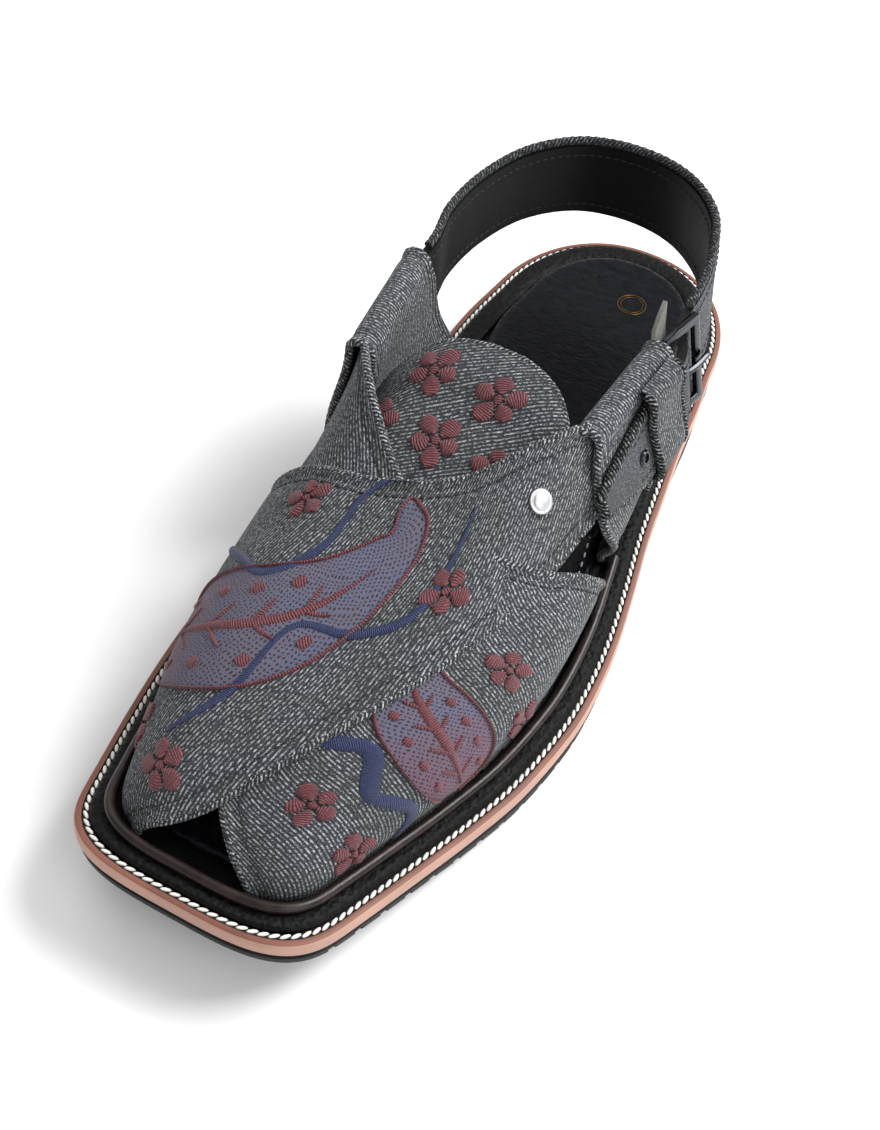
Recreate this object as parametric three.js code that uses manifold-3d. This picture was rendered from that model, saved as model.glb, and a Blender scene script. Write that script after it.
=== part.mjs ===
// Peshawari chappal, left shoe: an open sandal with crossed straps, a tongue, and a buckled heel strap.
// Millimetres. +Z is up, the toe points along -Y, the outer (lateral) side is +X, the floor is z = 0.
import * as THREE from 'three';
import Module from 'manifold-3d';

const wasm = await Module();
wasm.setup();

// Sole
const SOLE_LENGTH = 310;
const SOLE_WIDTH = 116.6;
const HEEL_ROUND = 44;
const TOE_CORNER = 23.5;
const OUTSOLE_THICKNESS = 7.2;
const HEEL_HEIGHT = 13.3;
const HEEL_LENGTH = 105;
const TOE_SPRING = 13.8;
const OUTSOLE_TOE_THICKNESS = 4.6;
const MIDSOLE_THICKNESS = 5.5;
const OUTSOLE_SETBACK = 0.8;
const GROOVE_PITCH = 9;
const GROOVE_WIDTH = 2.6;
const GROOVE_DEPTH = 1.8;
const RIB_DEPTH = 0.6;
const GROOVE_OVERRUN = 10;
const TOE_CORNER_LEAST = 9;
const TOE_CORNER_LOSS = 0.6;

// Top of the sole
const RAND_INSET = 4.4;
const RAND_WIDTH = 7.6;
const RAND_THICKNESS = 2.6;
const PIPING_RADIUS = 1.5;
const PIPING_SETBACK = 1.5;
const INSOLE_THICKNESS = 4.2;
const INSOLE_EDGE = 1.6;
const INSOLE_TOE_MARGIN = 3;
const INSOLE_DISH = 0.5;
const INSOLE_DISH_INSET = 9;
const RAND_BEVEL = 0.9;
const RAND_CUT_BELOW = 0.9;

// Upper
const WALL = 2.2;
const INSTEP_HEIGHT = 85.5;
const COLLAR_HEIGHT = 82;
const FOLD_RADIUS = 4.6;
const FOLD_DEPTH = 40;
const LATERAL_BULGE = 7;
const MEDIAL_BULGE = 5;
const STRAP_BULGE = 4;
const TONGUE_THICKNESS = 1.8;
const CROSSING_DIP = 0.7;
const TONGUE_SINK = 1.3;
const THROAT_INSET = 1;

// Heel strap and its hardware
const STRAP_THICKNESS = 2.8;
const STRAP_WIDTH = 26;
const STRAP_WIDTH_AT_BUCKLE = 23;
const STRAP_PIPING_RADIUS = 1.3;
const BUCKLE_LENGTH = 14;
const BUCKLE_BAR = 2.6;
const BUCKLE_DEPTH = 2.2;
const BUCKLE_LEAN = 5.5;
const BUCKLE_FLARE = 0.22;
const BUCKLE_ROOM = 1.5;
const PRONG_RADIUS = 1.0;
const CHAPE_THICKNESS = 1.2;
const CHAPE_WIDTH = 14;
const KEEPER_LENGTH = 18;
const KEEPER_THICKNESS = 1.6;
const SLEEVE_ROOM = 0.7;
const TAB_THICKNESS = 1.4;
const TAB_REACH = 18;
const TAB_WIDTH = 28;
const EYELET_RADIUS = 2.6;
const EYELET_HEIGHT = 0.8;
const STUD_RADIUS = 3.6;
const STUD_HEIGHT = 1.8;
const SLEEVE_STRAP_RISE = 0.4;
const PRONG_SLOT_DEPTH = 16;
const CHAPE_SLOT = 10;
const EYE_WALL = 0.9;
const BUCKLE_OUTSET = 0.2;
const KEEPER_INSET = 3;

// Gap between pieces that touch
const GAP = 0.3;

// Half width and centre line of the sole's outer edge, as shares of half the sole's width
const OUTLINE = [
  { along: 0.00, half: 0.643, centre: -0.106 },
  { along: 0.14, half: 0.703, centre: -0.106 },
  { along: 0.205, half: 0.749, centre: -0.093 },
  { along: 0.27, half: 0.773, centre: -0.073 },
  { along: 0.335, half: 0.798, centre: -0.039 },
  { along: 0.40, half: 0.829, centre: -0.011 },
  { along: 0.465, half: 0.889, centre: 0.007 },
  { along: 0.53, half: 0.954, centre: 0.010 },
  { along: 0.59, half: 0.993, centre: 0.005 },
  { along: 0.64, half: 1.000, centre: 0.000 },
  { along: 0.72, half: 0.967, centre: -0.021 },
  { along: 0.785, half: 0.903, centre: -0.045 },
  { along: 0.85, half: 0.820, centre: -0.064 },
  { along: 0.915, half: 0.730, centre: -0.074 },
  { along: 1.00, half: 0.610, centre: -0.082 },
];
const HEEL_ROUNDNESS = 2.2;
const TOE_SQUARENESS = 3.6;

// Where the sole changes level, as shares of its length from the heel
const HEEL_SEAT_END = 0.255;
const FLAT_START = 0.60;
const FLAT_END = 0.655;
const SPRING_END = 0.989;
const HEEL_GROOVES = { from: 0.04, toHeelBreast: 0.02 };
const FOREFOOT_GROOVES = { beforeFlat: 0.06, to: 0.97 };
const HEEL_BREAST_RUN = 0.02;
const TOE_THINNING_RUN = 0.3;

// The last under the straps: crown height as a share of the instep height, width of the rounded shoulder as a
// share of half the sole's width
const LAST = [
  { along: 0.42, crown: 1.02, shoulder: 0.42 },
  { along: 0.458, crown: 1.00, shoulder: 0.42 },
  { along: 0.50, crown: 0.945, shoulder: 0.42 },
  { along: 0.532, crown: 0.892, shoulder: 0.42 },
  { along: 0.565, crown: 0.842, shoulder: 0.43 },
  { along: 0.61, crown: 0.775, shoulder: 0.44 },
  { along: 0.66, crown: 0.715, shoulder: 0.46 },
  { along: 0.71, crown: 0.673, shoulder: 0.46 },
  { along: 0.77, crown: 0.620, shoulder: 0.45 },
  { along: 0.825, crown: 0.565, shoulder: 0.43 },
  { along: 0.87, crown: 0.507, shoulder: 0.40 },
  { along: 0.90, crown: 0.462, shoulder: 0.36 },
  { along: 0.925, crown: 0.418, shoulder: 0.30 },
  { along: 0.96, crown: 0.345, shoulder: 0.22 },
];
const SHOULDER_ROUNDNESS = 2.4;
const CROWN_CAMBER = 0.05;
const SWELL_END = 0.99;
const SWELL_RUN = 0.2;

// Edges of the two crossed straps in plan: run from foot to throat, across as a share of half the sole's width
const TOP_STRAP = [
  { run: 0.00, frontAlong: 0.953, frontAcross: -0.38, rearAlong: 0.622, rearAcross: -0.75 },
  { run: 0.10, frontAlong: 0.938, frontAcross: -0.21, rearAlong: 0.624, rearAcross: -0.68 },
  { run: 0.20, frontAlong: 0.913, frontAcross: -0.06, rearAlong: 0.624, rearAcross: -0.57 },
  { run: 0.38, frontAlong: 0.845, frontAcross: 0.16, rearAlong: 0.620, rearAcross: -0.32 },
  { run: 0.58, frontAlong: 0.745, frontAcross: 0.40, rearAlong: 0.592, rearAcross: 0.03 },
  { run: 0.80, frontAlong: 0.630, frontAcross: 0.58, rearAlong: 0.545, rearAcross: 0.33 },
  { run: 1.00, frontAlong: 0.525, frontAcross: 0.62, rearAlong: 0.487, rearAcross: 0.52 },
];
const UNDER_STRAP = [
  { run: 0.00, frontAlong: 0.953, frontAcross: 0.16, rearAlong: 0.535, rearAcross: 0.73 },
  { run: 0.10, frontAlong: 0.938, frontAcross: 0.03, rearAlong: 0.575, rearAcross: 0.70 },
  { run: 0.20, frontAlong: 0.913, frontAcross: -0.10, rearAlong: 0.615, rearAcross: 0.60 },
  { run: 0.38, frontAlong: 0.845, frontAcross: -0.29, rearAlong: 0.635, rearAcross: 0.36 },
  { run: 0.58, frontAlong: 0.745, frontAcross: -0.50, rearAlong: 0.628, rearAcross: 0.05 },
  { run: 0.80, frontAlong: 0.635, frontAcross: -0.60, rearAlong: 0.572, rearAcross: -0.32 },
  { run: 1.00, frontAlong: 0.525, frontAcross: -0.60, rearAlong: 0.500, rearAcross: -0.52 },
];

// How a strap's stations crowd towards its foot, where its foot lets go of the sole's ring, and where its throat
// end starts to turn into the quarter
const RUN_CROWDING = 1.5;
const FOOT_FADE_END = 0.75;
const THROAT_START = 0.72;

// Quarters: front and rear edge by height, as shares of the sole's length from the heel
const LATERAL_QUARTER = [
  { height: 0.00, front: 0.445, rear: 0.294 },
  { height: 0.35, front: 0.482, rear: 0.336 },
  { height: 0.65, front: 0.513, rear: 0.353 },
  { height: 1.00, front: 0.492, rear: 0.353 },
];
const MEDIAL_QUARTER = [
  { height: 0.00, front: 0.535, rear: 0.294 },
  { height: 0.35, front: 0.524, rear: 0.320 },
  { height: 0.65, front: 0.514, rear: 0.341 },
  { height: 1.00, front: 0.505, rear: 0.364 },
];
// Outer face of each quarter at its fold, front and rear, as shares of half the sole's width
const LATERAL_FOLD = { front: 0.60, rear: 0.64 };
const MEDIAL_FOLD = { front: -0.77, rear: -0.87 };

// Tongue: half widths each side in plan, as shares of half the sole's width
const TONGUE = [
  { along: 0.458, medial: 0.10, lateral: 0.08 },
  { along: 0.464, medial: 0.24, lateral: 0.20 },
  { along: 0.478, medial: 0.41, lateral: 0.33 },
  { along: 0.497, medial: 0.52, lateral: 0.41 },
  { along: 0.54, medial: 0.56, lateral: 0.46 },
  { along: 0.60, medial: 0.54, lateral: 0.46 },
  { along: 0.70, medial: 0.46, lateral: 0.42 },
];

// Heel strap loop behind the quarters: its outer face, and its top edge as a share of the collar height
const STRAP_LOOP = [
  { along: 0.335, across: -0.80, top: 0.970 },
  { along: 0.29, across: -0.84, top: 0.985 },
  { along: 0.225, across: -0.81, top: 0.995 },
  { along: 0.165, across: -0.68, top: 1.010 },
  { along: 0.122, across: -0.44, top: 1.020 },
  { along: 0.107, across: -0.12, top: 1.025 },
  { along: 0.116, across: 0.18, top: 1.020 },
  { along: 0.152, across: 0.42, top: 1.010 },
  { along: 0.205, across: 0.54, top: 0.995 },
  { along: 0.255, across: 0.583, top: 0.970 },
  { along: 0.295, across: 0.592, top: 0.950 },
];
// Strap tail over the lateral quarter: upper and lower edge, as shares of the collar height
const STRAP_TAIL = [
  { along: 0.365, top: 0.935, low: 0.665 },
  { along: 0.40, top: 0.915, low: 0.660 },
  { along: 0.435, top: 0.885, low: 0.655 },
  { along: 0.475, top: 0.840, low: 0.690 },
  { along: 0.517, top: 0.800, low: 0.735 },
];
// Stations of the buckle's front bar and of the stretch of strap hidden in the medial quarter's sleeve
const BUCKLE_FRONT = 0.340;
const SLEEVE_STRAP = [0.42, 0.40, 0.375];

const HALF_WIDTH = SOLE_WIDTH / 2;
const HALF_LENGTH = SOLE_LENGTH / 2;
const MEDIAL = -1;
const LATERAL = 1;
const SOLE_SIDES = 84;
const RAND_SIDES = 72;
const PIPING_SIDES = 88;
const INSOLE_SIDES = 64;
const FOOT_INSET = RAND_INSET + RAND_WIDTH + GAP + WALL;

function clamp01(value) {
  return Math.min(1, Math.max(0, value));
}

function mix(a, b, share) {
  return a + (b - a) * share;
}

function ease(value) {
  const t = clamp01(value);
  return t * t * (3 - 2 * t);
}

// Smooth value of one column of a table at a key, by a cubic through its rows
function column(rows, key, name, at) {
  const rising = rows[rows.length - 1][key] > rows[0][key];
  const ordered = rising ? rows : [...rows].reverse();
  const last = ordered.length - 1;
  if (at <= ordered[0][key]) return ordered[0][name];
  if (at >= ordered[last][key]) return ordered[last][name];
  let i = 0;
  while (at > ordered[i + 1][key]) i += 1;
  const slope = (a, b) => (ordered[b][name] - ordered[a][name]) / (ordered[b][key] - ordered[a][key]);
  const step = ordered[i + 1][key] - ordered[i][key];
  const t = (at - ordered[i][key]) / step;
  const before = slope(Math.max(0, i - 1), i + 1) * step;
  const after = slope(i, Math.min(last, i + 2)) * step;
  const bend = t * t * (3 - 2 * t);
  return mix(ordered[i][name], ordered[i + 1][name], bend)
    + before * t * (1 - t) * (1 - t) - after * t * t * (1 - t);
}

// Station of the table at a given y, and back
function alongAt(y) {
  return (HALF_LENGTH - y) / SOLE_LENGTH;
}

function yAt(along) {
  return HALF_LENGTH - along * SOLE_LENGTH;
}

// Height of the outsole's upper face
function outsoleTop(y) {
  const along = alongAt(y);
  const heel = ease((FLAT_START - along) / (FLAT_START - HEEL_SEAT_END));
  const toe = Math.max(0, (along - FLAT_END) / (SPRING_END - FLAT_END));
  return OUTSOLE_THICKNESS + (HEEL_HEIGHT - OUTSOLE_THICKNESS) * heel + TOE_SPRING * toe * toe;
}

function midsoleTop(y) {
  return outsoleTop(y) + GAP + MIDSOLE_THICKNESS;
}

// Sole outline at an inset from its outer edge: x at one side for a given y
function sideX(side, y, inset) {
  const along = alongAt(y);
  const centre = column(OUTLINE, 'along', 'centre', along) * HALF_WIDTH;
  const half = column(OUTLINE, 'along', 'half', along) * HALF_WIDTH - inset;
  const heelRound = HEEL_ROUND - inset;
  const toeRound = Math.max(TOE_CORNER_LEAST, TOE_CORNER - TOE_CORNER_LOSS * inset);
  const toHeel = HALF_LENGTH - inset - y;
  const toToe = y + HALF_LENGTH - inset;
  const heel = clamp01((heelRound - toHeel) / heelRound);
  const toe = clamp01((toeRound - toToe) / toeRound);
  const round = (1 - heel ** HEEL_ROUNDNESS) ** (1 / HEEL_ROUNDNESS)
    * (1 - toe ** TOE_SQUARENESS) ** (1 / TOE_SQUARENESS);
  return centre + side * half * round;
}

// Closed ring of plan points at an inset: heel centre, lateral side, toe centre, medial side
function outlineRing(inset, count) {
  const ring = [];
  for (let i = 0; i < count; i += 1) {
    const turn = 2 * Math.PI * i / count;
    const run = (1 - Math.cos(turn)) / 2;
    const y = mix(HALF_LENGTH - inset, -HALF_LENGTH + inset, run);
    ring.push({ x: sideX(Math.sin(turn) >= 0 ? LATERAL : MEDIAL, y, inset), y });
  }
  return ring;
}

// A mesh under construction: points and triangles
class Shell {
  constructor() {
    this.points = [];
    this.faces = [];
  }

  add(x, y, z) {
    this.points.push(x, y, z);
    return this.points.length / 3 - 1;
  }

  quad(a, b, c, d) {
    this.faces.push(a, b, c, a, c, d);
  }

  geometry() {
    const geometry = new THREE.BufferGeometry();
    geometry.setAttribute('position', new THREE.Float32BufferAttribute(this.points, 3));
    geometry.setIndex(this.faces);
    return geometry;
  }
}

function toManifold(geometry) {
  return new wasm.Manifold(new wasm.Mesh({
    numProp: 3,
    vertProperties: new Float32Array(geometry.attributes.position.array),
    triVerts: new Uint32Array(geometry.index.array),
  }));
}

function fromManifold(solid) {
  const mesh = solid.getMesh();
  const geometry = new THREE.BufferGeometry();
  geometry.setAttribute('position', new THREE.Float32BufferAttribute(mesh.vertProperties, 3));
  geometry.setIndex([...mesh.triVerts]);
  return geometry;
}

// Walls between stacked rings
function bandRings(shell, rings) {
  for (let level = 0; level + 1 < rings.length; level += 1) {
    const count = rings[level].length;
    for (let i = 0; i < count; i += 1) {
      const next = (i + 1) % count;
      shell.quad(rings[level][i], rings[level + 1][i], rings[level + 1][next], rings[level][next]);
    }
  }
}

// Strip across a ring, from its lateral points to its medial points
function capRing(shell, ring, down) {
  const count = ring.length;
  for (let i = 0; i < count / 2; i += 1) {
    const face = [ring[i], ring[i + 1], ring[count - i - 1], ring[(count - i) % count]];
    const corners = (down ? face : face.reverse()).filter((point, k, all) => all.indexOf(point) === k);
    for (let k = 2; k < corners.length; k += 1) shell.faces.push(corners[0], corners[k - 1], corners[k]);
  }
}

// Solid between stacked outline rings
function ringLoft(levels, count) {
  const shell = new Shell();
  const rings = levels.map(({ inset, z }) => outlineRing(inset, count)
    .map(({ x, y }) => shell.add(x, y, z(y))));
  bandRings(shell, rings);
  capRing(shell, rings[0], true);
  capRing(shell, rings[rings.length - 1], false);
  return shell.geometry();
}

// Closed solid from a grid of outer points and a grid of inner points of the same size
function slab(outer, inner) {
  const shell = new Shell();
  const rows = outer.length;
  const columns = outer[0].length;
  const place = (grid) => grid.map((row) => row.map((p) => shell.add(p.x, p.y, p.z)));
  const top = place(outer);
  const bottom = place(inner);
  for (let i = 0; i + 1 < rows; i += 1) {
    for (let j = 0; j + 1 < columns; j += 1) {
      shell.quad(top[i][j], top[i + 1][j], top[i + 1][j + 1], top[i][j + 1]);
      shell.quad(bottom[i][j], bottom[i][j + 1], bottom[i + 1][j + 1], bottom[i + 1][j]);
    }
  }
  for (let j = 0; j + 1 < columns; j += 1) {
    shell.quad(top[0][j], top[0][j + 1], bottom[0][j + 1], bottom[0][j]);
    shell.quad(top[rows - 1][j + 1], top[rows - 1][j], bottom[rows - 1][j], bottom[rows - 1][j + 1]);
  }
  for (let i = 0; i + 1 < rows; i += 1) {
    shell.quad(top[i + 1][0], top[i][0], bottom[i][0], bottom[i + 1][0]);
    shell.quad(top[i][columns - 1], top[i + 1][columns - 1], bottom[i + 1][columns - 1],
      bottom[i][columns - 1]);
  }
  return shell.geometry();
}

// Unit normals of a grid, on the side where rows x columns points out
function gridNormals(grid) {
  const rows = grid.length;
  const columns = grid[0].length;
  return grid.map((row, i) => row.map((_, j) => {
    const up = new THREE.Vector3().subVectors(grid[Math.min(rows - 1, i + 1)][j], grid[Math.max(0, i - 1)][j]);
    const over = new THREE.Vector3().subVectors(row[Math.min(columns - 1, j + 1)], row[Math.max(0, j - 1)]);
    return up.cross(over).normalize();
  }));
}

function shifted(grid, normals, amount) {
  return grid.map((row, i) => row.map((p, j) => {
    const distance = typeof amount === 'function' ? amount(i, j) : amount;
    return p.clone().addScaledVector(normals[i][j], distance);
  }));
}

// Sheet of leather or cloth whose outer face is the grid
function sheet(grid, thickness) {
  return slab(grid, shifted(grid, gridNormals(grid), -thickness));
}

// Round cord along a list of points, closed at both ends
function cord(points, radius, sides, steps) {
  const shape = new THREE.Shape();
  for (let i = 0; i < sides; i += 1) {
    const turn = 2 * Math.PI * i / sides;
    const corner = [radius * Math.cos(turn), radius * Math.sin(turn)];
    if (i === 0) shape.moveTo(...corner);
    else shape.lineTo(...corner);
  }
  const extrudePath = new THREE.CatmullRomCurve3(points, false, 'centripetal');
  return welded(new THREE.ExtrudeGeometry(shape, { steps, extrudePath, bevelEnabled: false }));
}

// Welded copy of a geometry that three.js made in pieces
function welded(geometry) {
  const plain = geometry.index ? geometry.toNonIndexed() : geometry;
  const position = plain.attributes.position;
  const shell = new Shell();
  const seen = new Map();
  for (let i = 0; i < position.count; i += 1) {
    const p = [position.getX(i), position.getY(i), position.getZ(i)];
    const name = p.map((value) => value.toFixed(4)).join(' ');
    if (!seen.has(name)) seen.set(name, shell.add(...p));
    shell.faces.push(seen.get(name));
  }
  const kept = [];
  for (let i = 0; i < shell.faces.length; i += 3) {
    const [a, b, c] = shell.faces.slice(i, i + 3);
    if (a !== b && b !== c && c !== a) kept.push(a, b, c);
  }
  shell.faces = kept;
  return shell.geometry();
}

function box(width, length, height, x, y, z) {
  const geometry = new THREE.BoxGeometry(width, length, height);
  geometry.translate(x, y, z);
  return welded(geometry);
}

// Outsole: heel and forefoot stand on the floor, the toe springs, and grooves notch its lower edge
function makeOutsole() {
  const heelEnd = HEEL_LENGTH / SOLE_LENGTH;
  const thinning = (y) => (OUTSOLE_THICKNESS - OUTSOLE_TOE_THICKNESS)
    * ease((alongAt(y) - FLAT_END) / TOE_THINNING_RUN);
  const flat = (y) => outsoleTop(y) - OUTSOLE_THICKNESS + thinning(y);
  const bottom = (y) => flat(y) * ease((alongAt(y) - heelEnd) / HEEL_BREAST_RUN);
  const side = (share) => (y) => mix(bottom(y), outsoleTop(y), share);
  let solid = toManifold(ringLoft([
    { inset: OUTSOLE_SETBACK + RIB_DEPTH, z: bottom },
    { inset: OUTSOLE_SETBACK, z: side(0.10) },
    { inset: OUTSOLE_SETBACK, z: side(0.55) },
    { inset: OUTSOLE_SETBACK + RIB_DEPTH, z: side(0.62) },
    { inset: OUTSOLE_SETBACK + RIB_DEPTH, z: side(0.78) },
    { inset: OUTSOLE_SETBACK, z: side(0.85) },
    { inset: OUTSOLE_SETBACK, z: side(1) },
  ], SOLE_SIDES));
  const grooveSpans = [
    [HEEL_GROOVES.from, heelEnd - HEEL_GROOVES.toHeelBreast],
    [FLAT_START - FOREFOOT_GROOVES.beforeFlat, FOREFOOT_GROOVES.to],
  ];
  for (const [from, to] of grooveSpans) {
    const count = Math.floor((to - from) * SOLE_LENGTH / GROOVE_PITCH);
    for (let i = 0; i <= count; i += 1) {
      const y = yAt(from) - i * GROOVE_PITCH;
      const top = bottom(y) + GROOVE_DEPTH;
      const cut = box(SOLE_WIDTH + GROOVE_OVERRUN, GROOVE_WIDTH, 2 * GROOVE_OVERRUN, 0, y, top - GROOVE_OVERRUN);
      solid = solid.subtract(toManifold(cut));
    }
  }
  return fromManifold(solid);
}

function makeMidsole() {
  const at = (lift) => (y) => outsoleTop(y) + GAP + lift;
  return ringLoft([
    { inset: 0.5, z: at(0) },
    { inset: 0, z: at(0.6) },
    { inset: 0, z: at(MIDSOLE_THICKNESS - 0.7) },
    { inset: 0.6, z: at(MIDSOLE_THICKNESS) },
  ], SOLE_SIDES);
}

// Rand: a strip laid round the top of the midsole, grown by a clearance where it serves as a cutter
function makeRand(clearance) {
  const inner = RAND_INSET + RAND_WIDTH + clearance;
  const foot = clearance > 0 ? -RAND_CUT_BELOW : GAP;
  const top = RAND_THICKNESS + clearance;
  const profile = [
    { inset: RAND_INSET, lift: foot },
    { inset: RAND_INSET, lift: top - RAND_BEVEL },
    { inset: RAND_INSET + RAND_BEVEL, lift: top - 0.2 },
    { inset: inner - 1, lift: top },
    { inset: inner, lift: top - 0.7 },
    { inset: inner, lift: foot },
  ];
  const count = RAND_SIDES;
  const shell = new Shell();
  const rings = profile.map(({ inset, lift }) => outlineRing(inset, count)
    .map(({ x, y }) => shell.add(x, y, midsoleTop(y) + lift)));
  for (let level = 0; level < rings.length; level += 1) {
    const above = rings[(level + 1) % rings.length];
    for (let i = 0; i < count; i += 1) {
      const next = (i + 1) % count;
      shell.quad(rings[level][i], above[i], above[next], rings[level][next]);
    }
  }
  return shell.geometry();
}

// Piping: a bead on the rand's inner edge, round the toe from quarter to quarter
function makePiping() {
  const inset = RAND_INSET + RAND_WIDTH - PIPING_RADIUS - PIPING_SETBACK;
  const ring = outlineRing(inset, PIPING_SIDES);
  const lateralEnd = LATERAL_QUARTER[0].front;
  const medialEnd = MEDIAL_QUARTER[0].front;
  const points = ring
    .filter(({ y }, i) => alongAt(y) > (i < PIPING_SIDES / 2 ? lateralEnd : medialEnd))
    .map(({ x, y }) => new THREE.Vector3(x, y, midsoleTop(y) + RAND_THICKNESS + GAP + PIPING_RADIUS));
  return cord(points, PIPING_RADIUS, 6, 44);
}

// Insole: a padded footbed, close to the rand at the heel and inside the straps' feet further forward
function insoleInset(y) {
  const narrow = RAND_INSET + RAND_WIDTH + GAP;
  const toe = INSOLE_TOE_MARGIN * ease((alongAt(y) - 0.82) / 0.1);
  return mix(narrow, FOOT_INSET + GAP, ease((alongAt(y) - 0.2) / 0.07)) + toe;
}

function makeInsole() {
  const count = INSOLE_SIDES;
  const levels = [
    { step: 0.4, lift: GAP },
    { step: 0, lift: GAP + 0.8 },
    { step: 0, lift: INSOLE_THICKNESS - INSOLE_EDGE },
    { step: 0.5, lift: INSOLE_THICKNESS - 0.5 },
    { step: INSOLE_EDGE, lift: INSOLE_THICKNESS },
    { step: INSOLE_DISH_INSET, lift: INSOLE_THICKNESS - INSOLE_DISH },
  ];
  const shell = new Shell();
  const rings = levels.map(({ step, lift }) => outlineRing(FOOT_INSET + GAP + step, count).map(({ y }, i) => {
    const side = i < count / 2 ? LATERAL : MEDIAL;
    const inset = insoleInset(y) + step;
    const place = y * (HALF_LENGTH - inset) / (HALF_LENGTH - FOOT_INSET - GAP - step);
    return shell.add(sideX(side, place, inset), place, midsoleTop(place) + lift);
  }));
  bandRings(shell, rings);
  capRing(shell, rings[0], true);
  capRing(shell, rings[rings.length - 1], false);
  return shell.geometry();
}

// The last: a dome whose foot is the ring where the straps leave the sole
const FOOT_RING = outlineRing(FOOT_INSET, 160);

function nearestOnFoot(x, y) {
  let best = { distance: Infinity, x: 0, y: 0 };
  for (let i = 0; i < FOOT_RING.length; i += 1) {
    const a = FOOT_RING[i];
    const b = FOOT_RING[(i + 1) % FOOT_RING.length];
    const spanX = b.x - a.x;
    const spanY = b.y - a.y;
    const t = clamp01(((x - a.x) * spanX + (y - a.y) * spanY) / (spanX * spanX + spanY * spanY));
    const px = a.x + t * spanX;
    const py = a.y + t * spanY;
    const distance = Math.hypot(x - px, y - py);
    if (distance < best.distance) best = { distance, x: px, y: py };
  }
  return best;
}

function lastPoint(x, y) {
  const along = alongAt(y);
  const foot = midsoleTop(y) + GAP;
  const near = nearestOnFoot(x, y);
  const shoulder = column(LAST, 'along', 'shoulder', along) * HALF_WIDTH;
  const rise = clamp01(near.distance / shoulder);
  const ratio = (1 - (1 - rise) ** SHOULDER_ROUNDNESS) ** (1 / SHOULDER_ROUNDNESS);
  const centre = column(OUTLINE, 'along', 'centre', along);
  const camber = 1 - CROWN_CAMBER * (x / HALF_WIDTH - centre) ** 2;
  const crown = column(LAST, 'along', 'crown', along) * INSTEP_HEIGHT * camber;
  const swell = STRAP_BULGE * Math.sin(Math.PI * ratio) ** 2 * clamp01((SWELL_END - along) / SWELL_RUN);
  const reach = Math.max(near.distance, 1e-6);
  return new THREE.Vector3(
    x + (near.x - x) / reach * swell,
    y + (near.y - y) / reach * swell,
    foot + (crown - foot) * ratio,
  );
}

// Outer face of a quarter at a y and a share of its height
function quarterX(side, y, height) {
  const fold = side > 0 ? LATERAL_FOLD : MEDIAL_FOLD;
  const rows = side > 0 ? LATERAL_QUARTER : MEDIAL_QUARTER;
  const front = yAt(rows[3].front);
  const rear = yAt(rows[3].rear);
  const top = mix(fold.front, fold.rear, (y - front) / (rear - front)) * HALF_WIDTH;
  const foot = sideX(side, y, FOOT_INSET - WALL);
  const bulge = side * (side > 0 ? LATERAL_BULGE : MEDIAL_BULGE);
  return mix(foot, top, height) + bulge * Math.sin(Math.PI * clamp01(height)) ** 2;
}

function quarterZ(y, height) {
  return mix(midsoleTop(y) + GAP, COLLAR_HEIGHT - FOLD_RADIUS, height);
}

function quarterHeight(y, z) {
  const foot = midsoleTop(y) + GAP;
  return (z - foot) / (COLLAR_HEIGHT - FOLD_RADIUS - foot);
}

// Quarter: rises from the sole, rolls over inward and hangs down inside as a sleeve
function makeQuarter(side) {
  const rows = side > 0 ? LATERAL_QUARTER : MEDIAL_QUARTER;
  const wallSteps = 8;
  const rollSteps = 5;
  const sleeveSteps = 4;
  const spans = 9;
  const grid = [];
  const place = (height, across) => mix(yAt(column(rows, 'height', 'front', height)),
    yAt(column(rows, 'height', 'rear', height)), across);
  for (let k = 0; k <= wallSteps; k += 1) {
    const height = k / wallSteps;
    grid.push(Array.from({ length: spans + 1 }, (_, i) => {
      const y = place(height, i / spans);
      return new THREE.Vector3(quarterX(side, y, height), y, quarterZ(y, height));
    }));
  }
  for (let k = 1; k <= rollSteps; k += 1) {
    const turn = Math.PI * k / rollSteps;
    grid.push(Array.from({ length: spans + 1 }, (_, i) => {
      const y = place(1, i / spans);
      const x = quarterX(side, y, 1) - side * FOLD_RADIUS * (1 - Math.cos(turn));
      return new THREE.Vector3(x, y, quarterZ(y, 1) + FOLD_RADIUS * Math.sin(turn));
    }));
  }
  for (let k = 1; k <= sleeveSteps; k += 1) {
    grid.push(Array.from({ length: spans + 1 }, (_, i) => {
      const drop = FOLD_DEPTH * k / sleeveSteps;
      const height = quarterHeight(place(1, i / spans), COLLAR_HEIGHT - FOLD_RADIUS - drop);
      const y = mix(Math.max(place(1, 0), place(height, 0)), place(height, 1), i / spans);
      const x = quarterX(side, y, height) - side * 2 * FOLD_RADIUS;
      return new THREE.Vector3(x, y, quarterZ(y, height));
    }));
  }
  if (side > 0) grid.forEach((row) => row.reverse());
  return sheet(grid, WALL);
}

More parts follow.
